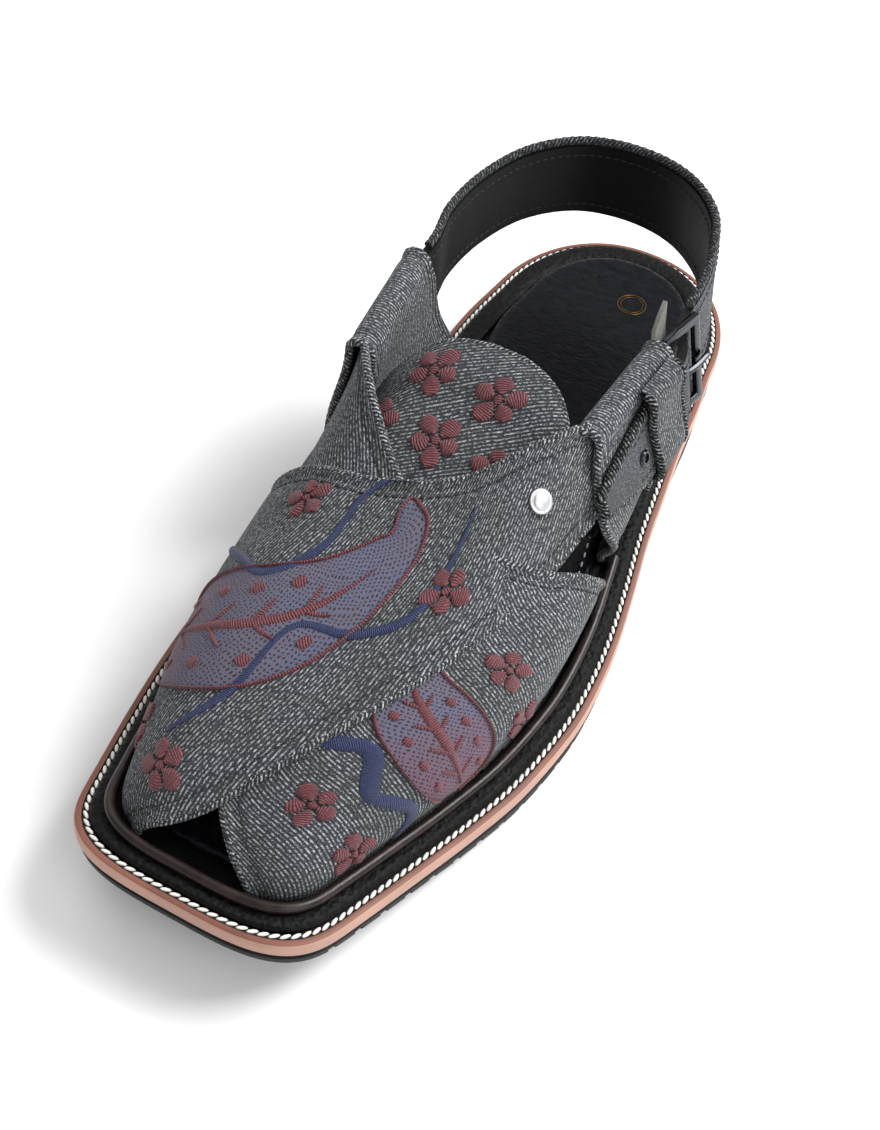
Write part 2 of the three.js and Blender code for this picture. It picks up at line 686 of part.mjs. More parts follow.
// One crossed strap, from its foot on one side to the throat on the other
function strapGrid(rows, footSide) {
  const runs = 16;
  const across = 9;
  const frontStart = { x: rows[0].frontAcross * HALF_WIDTH, y: yAt(rows[0].frontAlong) };
  const rearStart = { x: rows[0].rearAcross * HALF_WIDTH, y: yAt(rows[0].rearAlong) };
  const ring = footPath(frontStart, rearStart, footSide, across);
  const grid = [];
  for (let i = 0; i <= runs; i += 1) {
    const run = (i / runs) ** RUN_CROWDING;
    const front = new THREE.Vector2(column(rows, 'run', 'frontAcross', run) * HALF_WIDTH,
      yAt(column(rows, 'run', 'frontAlong', run)));
    const rear = new THREE.Vector2(column(rows, 'run', 'rearAcross', run) * HALF_WIDTH,
      yAt(column(rows, 'run', 'rearAlong', run)));
    const fade = (1 - clamp01(run / FOOT_FADE_END)) ** 2;
    grid.push(ring.map((foot, j) => {
      const share = j / across;
      const straight = new THREE.Vector2(mix(front.x, rear.x, share), mix(front.y, rear.y, share));
      const startX = mix(frontStart.x, rearStart.x, share);
      const startY = mix(frontStart.y, rearStart.y, share);
      return lastPoint(straight.x + (foot.x - startX) * fade, straight.y + (foot.y - startY) * fade);
    }));
  }
  return grid;
}

// Points on the foot ring from a strap's front corner to its rear corner
function footPath(from, to, side, steps) {
  const half = FOOT_RING.length / 2;
  const walk = FOOT_RING.slice(0, half + 1).map(({ y }) => ({ x: sideX(side, y, FOOT_INSET), y })).reverse();
  const lengths = [0];
  for (let i = 1; i < walk.length; i += 1) {
    lengths.push(lengths[i - 1] + Math.hypot(walk[i].x - walk[i - 1].x, walk[i].y - walk[i - 1].y));
  }
  const crossing = (test) => {
    const i = walk.findIndex(test);
    return lengths[Math.max(0, i)];
  };
  const start = crossing((p) => Math.abs(p.x - walk[0].x) >= Math.abs(from.x - walk[0].x));
  const end = crossing((p) => p.y >= to.y);
  const path = [];
  for (let k = 0; k <= steps; k += 1) {
    const wanted = mix(start, end, k / steps);
    let i = 0;
    while (i + 2 < walk.length && lengths[i + 1] < wanted) i += 1;
    const t = (wanted - lengths[i]) / (lengths[i + 1] - lengths[i]);
    path.push({ x: mix(walk[i].x, walk[i + 1].x, t), y: mix(walk[i].y, walk[i + 1].y, t) });
  }
  return path;
}

const UNDER_LIFT = TONGUE_THICKNESS + GAP;
const TOP_LIFT = UNDER_LIFT + WALL - CROSSING_DIP;

// Outer face of a crossed strap: lifted off the last by its layer, its throat end laid in the quarter's wall
function strapOuterFace(rows, footSide, lifts, throat) {
  const facing = (row) => (footSide < 0 ? row : [...row].reverse());
  const base = strapGrid(rows, footSide).map(facing);
  const runs = base.length - 1;
  const across = base[0].length - 1;
  const outer = shifted(base, gridNormals(base), (i) => WALL + lifts(i / runs));
  const blend = (i) => ease((i / runs - THROAT_START) / (1 - THROAT_START));
  const target = facing(Array.from({ length: across + 1 }, (_, j) => {
    const y = mix(throat.frontY, throat.rearY, j / across);
    const z = mix(throat.frontZ, throat.rearZ, j / across);
    return new THREE.Vector3(quarterX(-footSide, y, quarterHeight(y, z)) + footSide * THROAT_INSET, y, z);
  }));
  const shift = outer[runs].map((p, j) => new THREE.Vector3().subVectors(target[j], p));
  return outer.map((row, i) => row.map((p, j) => p.clone().addScaledVector(shift[j], blend(i))));
}

const TOP_STRAP_LIFT = (run) => UNDER_LIFT * ease(run / 0.2)
  + (TOP_LIFT - UNDER_LIFT) * ease((run - 0.05) / 0.25);
const UNDER_STRAP_LIFT = (run) => UNDER_LIFT * ease(run / 0.2);
const TOP_STRAP_THROAT = { frontY: 2, frontZ: 57, rearY: 10, rearZ: 77 };
const UNDER_STRAP_THROAT = { frontY: 2, frontZ: 47, rearY: 6, rearZ: 77 };
const CUT_DEPTH = 10;

function makeUpper() {
  const topStrap = strapOuterFace(TOP_STRAP, MEDIAL, TOP_STRAP_LIFT, TOP_STRAP_THROAT);
  const underStrap = strapOuterFace(UNDER_STRAP, LATERAL, UNDER_STRAP_LIFT, UNDER_STRAP_THROAT);
  const solid = toManifold(sheet(topStrap, WALL))
    .add(toManifold(sheet(underStrap, WALL)))
    .add(toManifold(makeQuarter(LATERAL)))
    .add(toManifold(makeQuarter(MEDIAL)));
  const sole = ringLoft([
    { inset: 0, z: () => -CUT_DEPTH },
    { inset: 0, z: (y) => midsoleTop(y) + GAP },
  ], SOLE_SIDES);
  return fromManifold(solid
    .subtract(toManifold(sole))
    .subtract(toManifold(makeRand(GAP))));
}

// Tongue: a rounded flap on the last, under both straps
function makeTongue() {
  const rows = 10;
  const spans = 10;
  const rim = TONGUE[0].along;
  const front = TONGUE[TONGUE.length - 1].along;
  const base = Array.from({ length: rows + 1 }, (_, i) => {
    const along = mix(rim, front, (i / rows) ** RUN_CROWDING);
    const medial = -column(TONGUE, 'along', 'medial', along) * HALF_WIDTH;
    const lateral = column(TONGUE, 'along', 'lateral', along) * HALF_WIDTH;
    return Array.from({ length: spans + 1 }, (_unused, j) => lastPoint(mix(medial, lateral, j / spans),
      yAt(along)));
  });
  const sink = (i) => TONGUE_SINK * ease(((i / rows) ** RUN_CROWDING - 0.12) / 0.16);
  return sheet(shifted(base, gridNormals(base), (i) => TONGUE_THICKNESS - sink(i)), TONGUE_THICKNESS);
}

// Outer face of a quarter at a height above the floor, with its roll
function quarterFace(side, y, z) {
  const height = Math.min(1, quarterHeight(y, z));
  const over = Math.max(0, z - (COLLAR_HEIGHT - FOLD_RADIUS));
  const roll = FOLD_RADIUS - Math.sqrt(Math.max(0, FOLD_RADIUS ** 2 - over ** 2));
  return quarterX(side, y, height) - side * roll;
}

// Point off a quarter's outer face, along its normal, outward where the distance is positive
function offQuarter(side, y, z, distance) {
  const at = (dy, dz) => new THREE.Vector3(quarterFace(side, y + dy, z + dz), y + dy, z + dz);
  const normal = at(0.5, 0).sub(at(-0.5, 0)).cross(at(0, 0.5).sub(at(0, -0.5))).normalize();
  return at(0, 0).addScaledVector(normal, side * distance);
}

// Heel strap: grid of its outer face, from the medial sleeve round the heel to the tail's end
function strapFace(share) {
  const hidden = SLEEVE_STRAP.map((along) => {
    const y = yAt(along);
    const top = COLLAR_HEIGHT - FOLD_RADIUS + SLEEVE_STRAP_RISE;
    const z = mix(top - STRAP_WIDTH, top, share);
    return offQuarter(MEDIAL, y, z, STRAP_THICKNESS / 2 - FOLD_RADIUS);
  });
  const loop = STRAP_LOOP.map(({ along, across, top }) => {
    const toBuckle = across > 0 ? ease((along - 0.12) / 0.17) : 0;
    const width = mix(STRAP_WIDTH, STRAP_WIDTH_AT_BUCKLE, toBuckle);
    const z = top * COLLAR_HEIGHT - width * (1 - share);
    return new THREE.Vector3(across * HALF_WIDTH + BUCKLE_LEAN * toBuckle * (1 - share), yAt(along), z);
  });
  const overBar = buckleBar(share);
  const crossing = new THREE.Vector3(overBar.x + CHAPE_REACH + GAP + STRAP_THICKNESS, overBar.y, overBar.z);
  const tail = STRAP_TAIL.map(({ along, top, low }) => {
    const y = yAt(along);
    const z = mix(low, top, share) * COLLAR_HEIGHT;
    return offQuarter(LATERAL, y, z, STRAP_THICKNESS + 2 * GAP);
  });
  return new THREE.CatmullRomCurve3([...hidden, ...loop, crossing, ...tail], false, 'centripetal');
}

// Inside of the chape's fold round the bar, and its outside
const CHAPE_BORE = Math.hypot(BUCKLE_BAR, BUCKLE_DEPTH) / 2 + GAP;
const CHAPE_REACH = CHAPE_BORE + CHAPE_THICKNESS;

// Centre of the buckle's front bar at a share of the strap's width
function buckleBar(share) {
  const end = STRAP_LOOP[STRAP_LOOP.length - 1];
  const y = yAt(BUCKLE_FRONT);
  const top = mix(end.top, STRAP_TAIL[0].top, 0.6) * COLLAR_HEIGHT;
  const z = top - STRAP_WIDTH_AT_BUCKLE * (1 - share);
  const x = quarterX(LATERAL, yAt(STRAP_TAIL[0].along), 1) + BUCKLE_OUTSET - CHAPE_REACH;
  return new THREE.Vector3(x + BUCKLE_LEAN * (1 - share), y, z);
}

function makeHeelStrap() {
  const rows = 4;
  const steps = 52;
  const grid = Array.from({ length: rows + 1 }, (_, i) => strapFace(i / rows).getPoints(steps));
  const slot = box(0.75 * BUCKLE_LENGTH, 2 * (PRONG_RADIUS + GAP), PRONG_SLOT_DEPTH, 0.4 * BUCKLE_LENGTH, 0, 2);
  slot.applyMatrix4(buckleFrameBase());
  return fromManifold(toManifold(sheet(grid, STRAP_THICKNESS)).subtract(toManifold(slot)));
}

// Twisted cord on the strap's top edge, from the medial quarter to the buckle
function makeStrapPiping() {
  const steps = 240;
  const edge = strapFace(1).getPoints(steps);
  const from = yAt(SLEEVE_STRAP[2]) + 8;
  const to = yAt(BUCKLE_FRONT) + BUCKLE_LENGTH + 4;
  const lift = STRAP_PIPING_RADIUS + GAP;
  const turnBack = edge.findIndex(({ x }) => x > 0);
  const points = [];
  edge.forEach((p, i) => {
    if (i % 6 !== 0 || p.y < (i < turnBack ? from : to)) return;
    const next = edge[Math.min(steps, i + 1)];
    const before = edge[Math.max(0, i - 1)];
    const outward = new THREE.Vector3(before.y - next.y, next.x - before.x, 0).normalize();
    points.push(p.clone().addScaledVector(outward, -STRAP_THICKNESS / 2).setZ(p.z + lift));
  });
  return cord(points, STRAP_PIPING_RADIUS, 7, (points.length - 1) * 2);
}

// Buckle frame: a flat rectangular ring, in front of the strap at the rear and behind it at the front
function buckleFrameBase() {
  const top = buckleBar(1);
  const low = buckleBar(0);
  const up = new THREE.Vector3().subVectors(top, low).normalize();
  const along = new THREE.Vector3(BUCKLE_FLARE, 1, 0).normalize();
  const out = new THREE.Vector3().crossVectors(along, up).normalize();
  const back = new THREE.Vector3().crossVectors(up, out).normalize();
  return new THREE.Matrix4().makeBasis(back, up, out).setPosition(buckleBar(0.5));
}

function makeBuckleFrame() {
  const half = STRAP_WIDTH_AT_BUCKLE / 2 + BUCKLE_ROOM + BUCKLE_BAR / 2;
  const rim = BUCKLE_BAR / 2;
  const shape = new THREE.Shape();
  shape.moveTo(-rim, -half - rim);
  shape.lineTo(BUCKLE_LENGTH + rim, -half - rim);
  shape.lineTo(BUCKLE_LENGTH + rim, half + rim);
  shape.lineTo(-rim, half + rim);
  shape.closePath();
  const hole = new THREE.Path();
  hole.moveTo(rim, -half + rim);
  hole.lineTo(rim, half - rim);
  hole.lineTo(BUCKLE_LENGTH - rim, half - rim);
  hole.lineTo(BUCKLE_LENGTH - rim, -half + rim);
  hole.closePath();
  shape.holes.push(hole);
  const geometry = new THREE.ExtrudeGeometry(shape, { depth: BUCKLE_DEPTH, bevelEnabled: false });
  geometry.translate(0, 0, -BUCKLE_DEPTH / 2);
  geometry.applyMatrix4(buckleFrameBase());
  return welded(geometry);
}

// Prong: an eye round the front bar, and a pin through the strap that ends on the rear bar
function makeBuckleProng() {
  const base = buckleFrameBase();
  const eyeInner = CHAPE_BORE;
  const eyeOuter = eyeInner + EYE_WALL;
  const eye = new THREE.Shape();
  eye.absarc(0, 0, eyeOuter, 0, 2 * Math.PI, false);
  const bore = new THREE.Path();
  bore.absarc(0, 0, eyeInner, 0, 2 * Math.PI, true);
  eye.holes.push(bore);
  const ring = new THREE.ExtrudeGeometry(eye, { depth: 2 * PRONG_RADIUS, bevelEnabled: false, curveSegments: 8 });
  ring.translate(0, 0, -PRONG_RADIUS);
  ring.rotateX(Math.PI / 2);
  ring.applyMatrix4(base);
  const rest = BUCKLE_DEPTH / 2 + GAP + PRONG_RADIUS;
  const route = [
    [eyeInner + 0.4, 0, 0.6],
    [0.4 * BUCKLE_LENGTH, 0, 2.2],
    [BUCKLE_LENGTH - 4, 0, rest + 0.5],
    [BUCKLE_LENGTH + 2.6, 0, rest],
  ].map((at) => new THREE.Vector3(...at).applyMatrix4(base));
  const pin = cord(route, PRONG_RADIUS, 8, 9);
  return fromManifold(toManifold(welded(ring)).add(toManifold(pin)));
}

// Chape: a strip held in the lateral sleeve and folded round the front bar, slotted for the prong
function makeBuckleChape() {
  const rows = 2;
  const half = CHAPE_WIDTH / STRAP_WIDTH_AT_BUCKLE / 2;
  const turns = 7;
  const edge = yAt(LATERAL_QUARTER[3].rear);
  const grid = Array.from({ length: rows + 1 }, (_, i) => {
    const bar = buckleBar(mix(0.5 - half, 0.5 + half, i / rows));
    const row = [edge - 12, edge - 6, edge + 0.3].map((y) => offQuarter(LATERAL, y, bar.z, -WALL - SLEEVE_ROOM));
    for (let k = 0; k <= turns; k += 1) {
      const turn = Math.PI * mix(-0.75, 0.5, k / turns);
      row.push(new THREE.Vector3(bar.x - CHAPE_REACH * Math.sin(turn), bar.y + CHAPE_REACH * Math.cos(turn),
        bar.z));
    }
    return row.reverse();
  });
  const slot = box(CHAPE_SLOT, 2 * (PRONG_RADIUS + GAP), CHAPE_SLOT, 1, 0, 0);
  slot.applyMatrix4(buckleFrameBase());
  return fromManifold(toManifold(sheet(grid, CHAPE_THICKNESS)).subtract(toManifold(slot)));
}

// Keeper: a denim loop over the strap's tail, sewn to the quarter above and below it
function makeKeeper() {
  const tailTop = STRAP_TAIL[1].top * COLLAR_HEIGHT;
  const tailLow = STRAP_TAIL[1].low * COLLAR_HEIGHT;
  const over = STRAP_THICKNESS + 4 * GAP + KEEPER_THICKNESS;
  const flat = GAP + KEEPER_THICKNESS;
  const levels = [
    { z: tailLow - 10, lift: flat },
    { z: tailLow - 5, lift: flat },
    { z: tailLow - 2.2, lift: over },
    { z: mix(tailLow, tailTop, 0.33), lift: over },
    { z: mix(tailLow, tailTop, 0.66), lift: over },
    { z: tailTop + 3, lift: over },
    { z: tailTop + 5.5, lift: flat },
  ];
  const columns = 3;
  const rear = yAt(LATERAL_QUARTER[3].rear) - KEEPER_INSET;
  const grid = levels.map(({ z, lift }) => Array.from({ length: columns + 1 }, (_, j) => {
    const y = rear - KEEPER_LENGTH * (1 - j / columns);
    return offQuarter(LATERAL, y, z, lift);
  }).reverse());
  return sheet(grid, KEEPER_THICKNESS);
}

// Guard tab: a felt flap from the lateral sleeve, inside the buckle
function makeGuardTab() {
  const rows = 3;
  const rear = yAt(LATERAL_QUARTER[3].rear);
  const inSleeve = WALL + 2 * SLEEVE_ROOM + CHAPE_THICKNESS;
  const stations = [
    { y: rear - 14, clear: inSleeve, top: 0 },
    { y: rear - 1, clear: inSleeve, top: 0 },
    { y: rear + 6, clear: 0, top: 0.6 },
    { y: rear + TAB_REACH * 0.6, clear: 0, top: 1 },
    { y: rear + TAB_REACH, clear: 0, top: 1 },
  ];
  const grid = Array.from({ length: rows + 1 }, (_, i) => stations.map(({ y, clear, top }) => {
    const high = mix(COLLAR_HEIGHT - FOLD_RADIUS - 0.5, COLLAR_HEIGHT, top);
    const z = high - TAB_WIDTH * (1 - i / rows);
    const wanted = clamp01((z - buckleBar(0).z) / STRAP_WIDTH_AT_BUCKLE);
    const lean = Math.max(0, y - rear) * 0.16;
    const free = buckleBar(wanted).x - CHAPE_REACH - 3 * GAP - lean;
    return clear > 0 ? offQuarter(LATERAL, y, z, -clear) : new THREE.Vector3(free, y, z);
  }).reverse());
  return sheet(grid, TAB_THICKNESS);
}

// Round solid turned about an axis that points out of a surface
function turned(profile, origin, normal, sides) {
  const geometry = new THREE.LatheGeometry(profile.map(([r, h]) => new THREE.Vector2(r, h)), sides);
  const spin = new THREE.Quaternion().setFromUnitVectors(new THREE.Vector3(0, 1, 0), normal);
  geometry.applyQuaternion(spin);
  geometry.translate(origin.x, origin.y, origin.z);
  return welded(geometry);
}

function makeStrapEyelet() {
  const y = yAt((STRAP_TAIL[2].along + STRAP_TAIL[1].along) / 2) - 7;
  const z = mix(STRAP_TAIL[2].low, STRAP_TAIL[2].top, 0.45) * COLLAR_HEIGHT;
  const origin = offQuarter(LATERAL, y, z, STRAP_THICKNESS + 3 * GAP);
  const normal = offQuarter(LATERAL, y, z, 1).sub(offQuarter(LATERAL, y, z, 0));
  const inner = EYELET_RADIUS * 0.55;
  return turned([[inner, 0], [EYELET_RADIUS, 0], [EYELET_RADIUS - 0.5, EYELET_HEIGHT], [inner, EYELET_HEIGHT],
    [inner, 0]], origin, normal, 16);
}

function makeStrapStud() {
  const face = strapOuterFace(TOP_STRAP, MEDIAL, TOP_STRAP_LIFT, TOP_STRAP_THROAT);
  const i = Math.round(0.9 * (face.length - 1));
  const j = Math.round(0.5 * (face[0].length - 1));
  const normal = gridNormals(face)[i][j];
  const origin = face[i][j].clone().addScaledVector(normal, GAP);
  return turned([[0, 0], [STUD_RADIUS, 0], [STUD_RADIUS * 0.95, 0.5 * STUD_HEIGHT],
    [STUD_RADIUS * 0.6, 0.9 * STUD_HEIGHT], [0, STUD_HEIGHT]], origin, normal, 16);
}

function part(name, geometry, color, roughness, metalness) {
  const mesh = new THREE.Mesh(geometry, new THREE.MeshStandardMaterial({ color, roughness, metalness }));
  mesh.name = name;
  return mesh;
}

const chappal = new THREE.Group();
chappal.add(part('outsole', makeOutsole(), 0x1b1b1c, 0.75, 0));
chappal.add(part('midsole', makeMidsole(), 0xb4775a, 0.6, 0));
chappal.add(part('rand', makeRand(0), 0x17181a, 0.55, 0));
chappal.add(part('piping', makePiping(), 0x3c2826, 0.4, 0));
chappal.add(part('insole', makeInsole(), 0x24262a, 0.5, 0));
chappal.add(part('upper', makeUpper(), 0x3c4448, 0.85, 0));
chappal.add(part('tongue', makeTongue(), 0x434b4f, 0.85, 0));
chappal.add(part('heel_strap', makeHeelStrap(), 0x2c3033, 0.8, 0));
chappal.add(part('strap_piping', makeStrapPiping(), 0x33383b, 0.8, 0));
chappal.add(part('buckle_frame', makeBuckleFrame(), 0x3a3c40, 0.3, 1));
chappal.add(part('buckle_prong', makeBuckleProng(), 0x4a4c50, 0.3, 1));
chappal.add(part('buckle_chape', makeBuckleChape(), 0x1c1d1f, 0.7, 0));
chappal.add(part('keeper', makeKeeper(), 0x3c4448, 0.85, 0));
chappal.add(part('guard_tab', makeGuardTab(), 0x6b6b64, 0.95, 0));
chappal.add(part('strap_eyelet', makeStrapEyelet(), 0x8a8c90, 0.3, 1));
chappal.add(part('strap_stud', makeStrapStud(), 0xc0c2c6, 0.2, 1));

export default chappal;
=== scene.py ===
"""Peshawari chappal, left shoe: the finish of every surface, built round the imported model."""
import math

import bpy
import numpy as np
from bpy.props import FloatProperty, FloatVectorProperty, PointerProperty
from mathutils import Matrix, Vector


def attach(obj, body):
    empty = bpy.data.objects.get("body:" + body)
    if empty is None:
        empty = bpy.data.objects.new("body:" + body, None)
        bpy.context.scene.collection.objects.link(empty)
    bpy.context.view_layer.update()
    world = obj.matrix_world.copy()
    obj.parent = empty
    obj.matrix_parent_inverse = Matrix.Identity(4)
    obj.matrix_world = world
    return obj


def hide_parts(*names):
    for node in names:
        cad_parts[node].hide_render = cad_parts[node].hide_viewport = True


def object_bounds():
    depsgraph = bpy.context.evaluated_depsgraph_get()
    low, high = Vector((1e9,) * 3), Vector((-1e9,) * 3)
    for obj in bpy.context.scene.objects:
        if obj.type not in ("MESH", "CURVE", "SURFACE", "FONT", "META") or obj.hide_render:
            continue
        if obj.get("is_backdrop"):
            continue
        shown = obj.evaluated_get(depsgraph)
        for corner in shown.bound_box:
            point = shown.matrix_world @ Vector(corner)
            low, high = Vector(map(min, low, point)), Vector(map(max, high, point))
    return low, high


bl_info = {
    "name": "Peshawari Chappal",
    "version": (1, 0, 0),
    "blender": (4, 5, 0),
    "location": "View3D > Sidebar > Chappal",
    "description": "Denim, leather, rubber and embroidery for a crossed-strap sandal",
    "category": "Object",
}

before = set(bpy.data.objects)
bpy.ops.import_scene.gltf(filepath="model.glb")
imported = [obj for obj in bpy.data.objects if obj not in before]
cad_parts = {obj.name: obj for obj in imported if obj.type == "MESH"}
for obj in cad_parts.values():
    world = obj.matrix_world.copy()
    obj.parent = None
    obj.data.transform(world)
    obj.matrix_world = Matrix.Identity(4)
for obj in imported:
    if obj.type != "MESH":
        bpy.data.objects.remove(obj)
CAD_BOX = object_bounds()

MM = 0.001
LATERAL = 1
MEDIAL = -1

# Sole, in millimetres, as in the solids
SOLE_LENGTH = 310
SOLE_WIDTH = 116.6
HALF_LENGTH = SOLE_LENGTH / 2
HALF_WIDTH = SOLE_WIDTH / 2
HEEL_ROUND = 44
TOE_CORNER = 23.5
HEEL_ROUNDNESS = 2.2
TOE_SQUARENESS = 3.6
OUTSOLE_THICKNESS = 7.2
OUTSOLE_TOE_THICKNESS = 4.6
HEEL_HEIGHT = 13.3
HEEL_LENGTH = 105
TOE_SPRING = 13.8
MIDSOLE_THICKNESS = 5.5
OUTSOLE_SETBACK = 0.8
GROOVE_PITCH = 9
GROOVE_WIDTH = 2.6
GROOVE_DEPTH = 1.8
RIB_DEPTH = 0.6
WELT_INSET = 3.1
WELT_HEIGHT = 0.9
WELT_SLANT = math.radians(19)
RAND_INSET = 4.4
RAND_WIDTH = 7.6
RAND_THICKNESS = 2.6
PIPING_RADIUS = 1.5
PIPING_SETBACK = 1.5
INSOLE_THICKNESS = 4.2
INSOLE_TOE_MARGIN = 3
STAMP_CENTRE = (-1.0, 121.4)
STAMP_RINGS = ((4.9, 0.17), (3.9, 0.11))
STAMP_SINK = 0.65

# Upper, in millimetres, as in the solids
WALL = 2.2
GAP = 0.3
FOOT_INSET = RAND_INSET + RAND_WIDTH + GAP + WALL
INSTEP_HEIGHT = 85.5
COLLAR_HEIGHT = 82
FOLD_RADIUS = 4.6
FOLD_DEPTH = 40
LATERAL_BULGE = 7
MEDIAL_BULGE = 5
STRAP_BULGE = 4
TONGUE_THICKNESS = 1.8
TONGUE_SINK = 1.3
CROSSING_DIP = 0.7
UNDER_LIFT = TONGUE_THICKNESS + GAP
TOP_LIFT = UNDER_LIFT + WALL - CROSSING_DIP
SHOULDER_ROUNDNESS = 2.4
CROWN_CAMBER = 0.05

# Heel strap and buckle, in millimetres, as in the solids
STRAP_THICKNESS = 2.8
STRAP_WIDTH = 26
STRAP_WIDTH_AT_BUCKLE = 23
STRAP_PIPING_RADIUS = 1.3
BUCKLE_LENGTH = 14
BUCKLE_BAR = 2.6
BUCKLE_DEPTH = 2.2
BUCKLE_LEAN = 5.5
CHAPE_THICKNESS = 1.2
CHAPE_REACH = math.hypot(BUCKLE_BAR, BUCKLE_DEPTH) / 2 + GAP + CHAPE_THICKNESS
KEEPER_LENGTH = 18
KEEPER_THICKNESS = 1.6

# How finely things are divided: points of a ring, plan points handled at once, rows and columns of a strap
OUTSOLE_RING = 336
SOLE_RING = 480
FOOTBED_RING = 320
PIPING_RING = 720
FINE_RING = 1440
POINTS_AT_ONCE = 4000
STRAP_ROWS = 144
STRAP_COLUMNS = 104
HEMMED_ROWS = 140
SEWN_ROWS = 136
LOOP_STEPS = 360
LOOP_LINES = 24

# Sewing, in millimetres: pitches, insets, and threads as length, width and height of a stitch
FOOTBED_SEAM = 3.4
FOOTBED_SEAM_PITCH = 3.6
FOOTBED_THREAD = (2.2, 0.6, 0.5)
STRAP_THREAD = (1.8, 0.55, 0.5)
HEEL_SEAM_PITCH = 2.6
HEEL_STRAP_THREAD = (2.0, 0.5, 0.5)
HEM_SEAM = 4.6
HEM_PITCH = 0.7
HEM_SIDES = 10
HEM_TWIST = 2.6
HEM_LOBES = 0.06

# Where the sole changes level, as shares of its length from the heel
HEEL_SEAT_END = 0.255
FLAT_START = 0.60
FLAT_END = 0.655
SPRING_END = 0.989


class Table:
    """Rows of listed shares, read at any key by a smooth cubic through them."""

    def __init__(self, columns, *rows):
        self.names = columns.split()
        order = sorted(rows)
        self.columns = {name: np.array([row[k] for row in order]) for k, name in enumerate(self.names)}

    def at(self, name, where):
        keys, values = self.columns[self.names[0]], self.columns[name]
        where = np.clip(np.asarray(where, float), keys[0], keys[-1])
        slopes = np.empty(len(keys))
        slopes[1:-1] = (values[2:] - values[:-2]) / (keys[2:] - keys[:-2])
        slopes[0] = (values[1] - values[0]) / (keys[1] - keys[0])
        slopes[-1] = (values[-1] - values[-2]) / (keys[-1] - keys[-2])
        i = np.clip(np.searchsorted(keys, where, side="right") - 1, 0, len(keys) - 2)
        step = keys[i + 1] - keys[i]
        t = (where - keys[i]) / step
        bend = t * t * (3 - 2 * t)
        smooth = values[i] + (values[i + 1] - values[i]) * bend
        return smooth + step * (slopes[i] * t * (1 - t) ** 2 - slopes[i + 1] * t * t * (1 - t))


OUTLINE = Table(
    "along half centre",
    (0.00, 0.643, -0.106), (0.14, 0.703, -0.106), (0.205, 0.749, -0.093), (0.27, 0.773, -0.073),
    (0.335, 0.798, -0.039), (0.40, 0.829, -0.011), (0.465, 0.889, 0.007), (0.53, 0.954, 0.010),
    (0.59, 0.993, 0.005), (0.64, 1.000, 0.000), (0.72, 0.967, -0.021), (0.785, 0.903, -0.045),
    (0.85, 0.820, -0.064), (0.915, 0.730, -0.074), (1.00, 0.610, -0.082),
)
LAST = Table(
    "along crown shoulder",
    (0.42, 1.02, 0.42), (0.458, 1.00, 0.42), (0.50, 0.945, 0.42), (0.532, 0.892, 0.42),
    (0.565, 0.842, 0.43), (0.61, 0.775, 0.44), (0.66, 0.715, 0.46), (0.71, 0.673, 0.46),
    (0.77, 0.620, 0.45), (0.825, 0.565, 0.43), (0.87, 0.507, 0.40), (0.90, 0.462, 0.36),
    (0.925, 0.418, 0.30), (0.96, 0.345, 0.22),
)
TOP_STRAP = Table(
    "run frontAlong frontAcross rearAlong rearAcross",
    (0.00, 0.953, -0.38, 0.622, -0.75), (0.10, 0.938, -0.21, 0.624, -0.68),
    (0.20, 0.913, -0.06, 0.624, -0.57), (0.38, 0.845, 0.16, 0.620, -0.32),
    (0.58, 0.745, 0.40, 0.592, 0.03), (0.80, 0.630, 0.58, 0.545, 0.33),
    (1.00, 0.525, 0.62, 0.487, 0.52),
)
UNDER_STRAP = Table(
    "run frontAlong frontAcross rearAlong rearAcross",
    (0.00, 0.953, 0.16, 0.535, 0.73), (0.10, 0.938, 0.03, 0.575, 0.70),
    (0.20, 0.913, -0.10, 0.615, 0.60), (0.38, 0.845, -0.29, 0.635, 0.36),
    (0.58, 0.745, -0.50, 0.628, 0.05), (0.80, 0.635, -0.60, 0.572, -0.32),
    (1.00, 0.525, -0.60, 0.500, -0.52),
)
LATERAL_QUARTER = Table(
    "height front rear",
    (0.00, 0.445, 0.294), (0.35, 0.482, 0.336), (0.65, 0.513, 0.353), (1.00, 0.492, 0.353),
)
MEDIAL_QUARTER = Table(
    "height front rear",
    (0.00, 0.535, 0.294), (0.35, 0.524, 0.320), (0.65, 0.514, 0.341), (1.00, 0.505, 0.364),
)
LATERAL_FOLD = (0.60, 0.64)
MEDIAL_FOLD = (-0.77, -0.87)
TONGUE = Table(
    "along medial lateral",
    (0.458, 0.10, 0.08), (0.464, 0.24, 0.20), (0.478, 0.41, 0.33), (0.497, 0.52, 0.41),
    (0.54, 0.56, 0.46), (0.60, 0.54, 0.46), (0.70, 0.46, 0.42),
)
# Heel strap loop, medial to lateral: station, across, top edge as a share of the collar height
STRAP_LOOP = (
    (0.335, -0.80, 0.970), (0.29, -0.84, 0.985), (0.225, -0.81, 0.995), (0.165, -0.68, 1.010),
    (0.122, -0.44, 1.020), (0.107, -0.12, 1.025), (0.116, 0.18, 1.020), (0.152, 0.42, 1.010),
    (0.205, 0.54, 0.995), (0.255, 0.583, 0.970), (0.295, 0.592, 0.950),
)
# Strap tail over the lateral quarter: station, top edge, low edge
STRAP_TAIL = (
    (0.365, 0.935, 0.665), (0.40, 0.915, 0.660), (0.435, 0.885, 0.655), (0.475, 0.840, 0.690),
    (0.517, 0.800, 0.735),
)
BUCKLE_FRONT = 0.340
SLEEVE_STRAP = (0.42, 0.40, 0.375)


def mix(a, b, share):
    return a + (b - a) * share


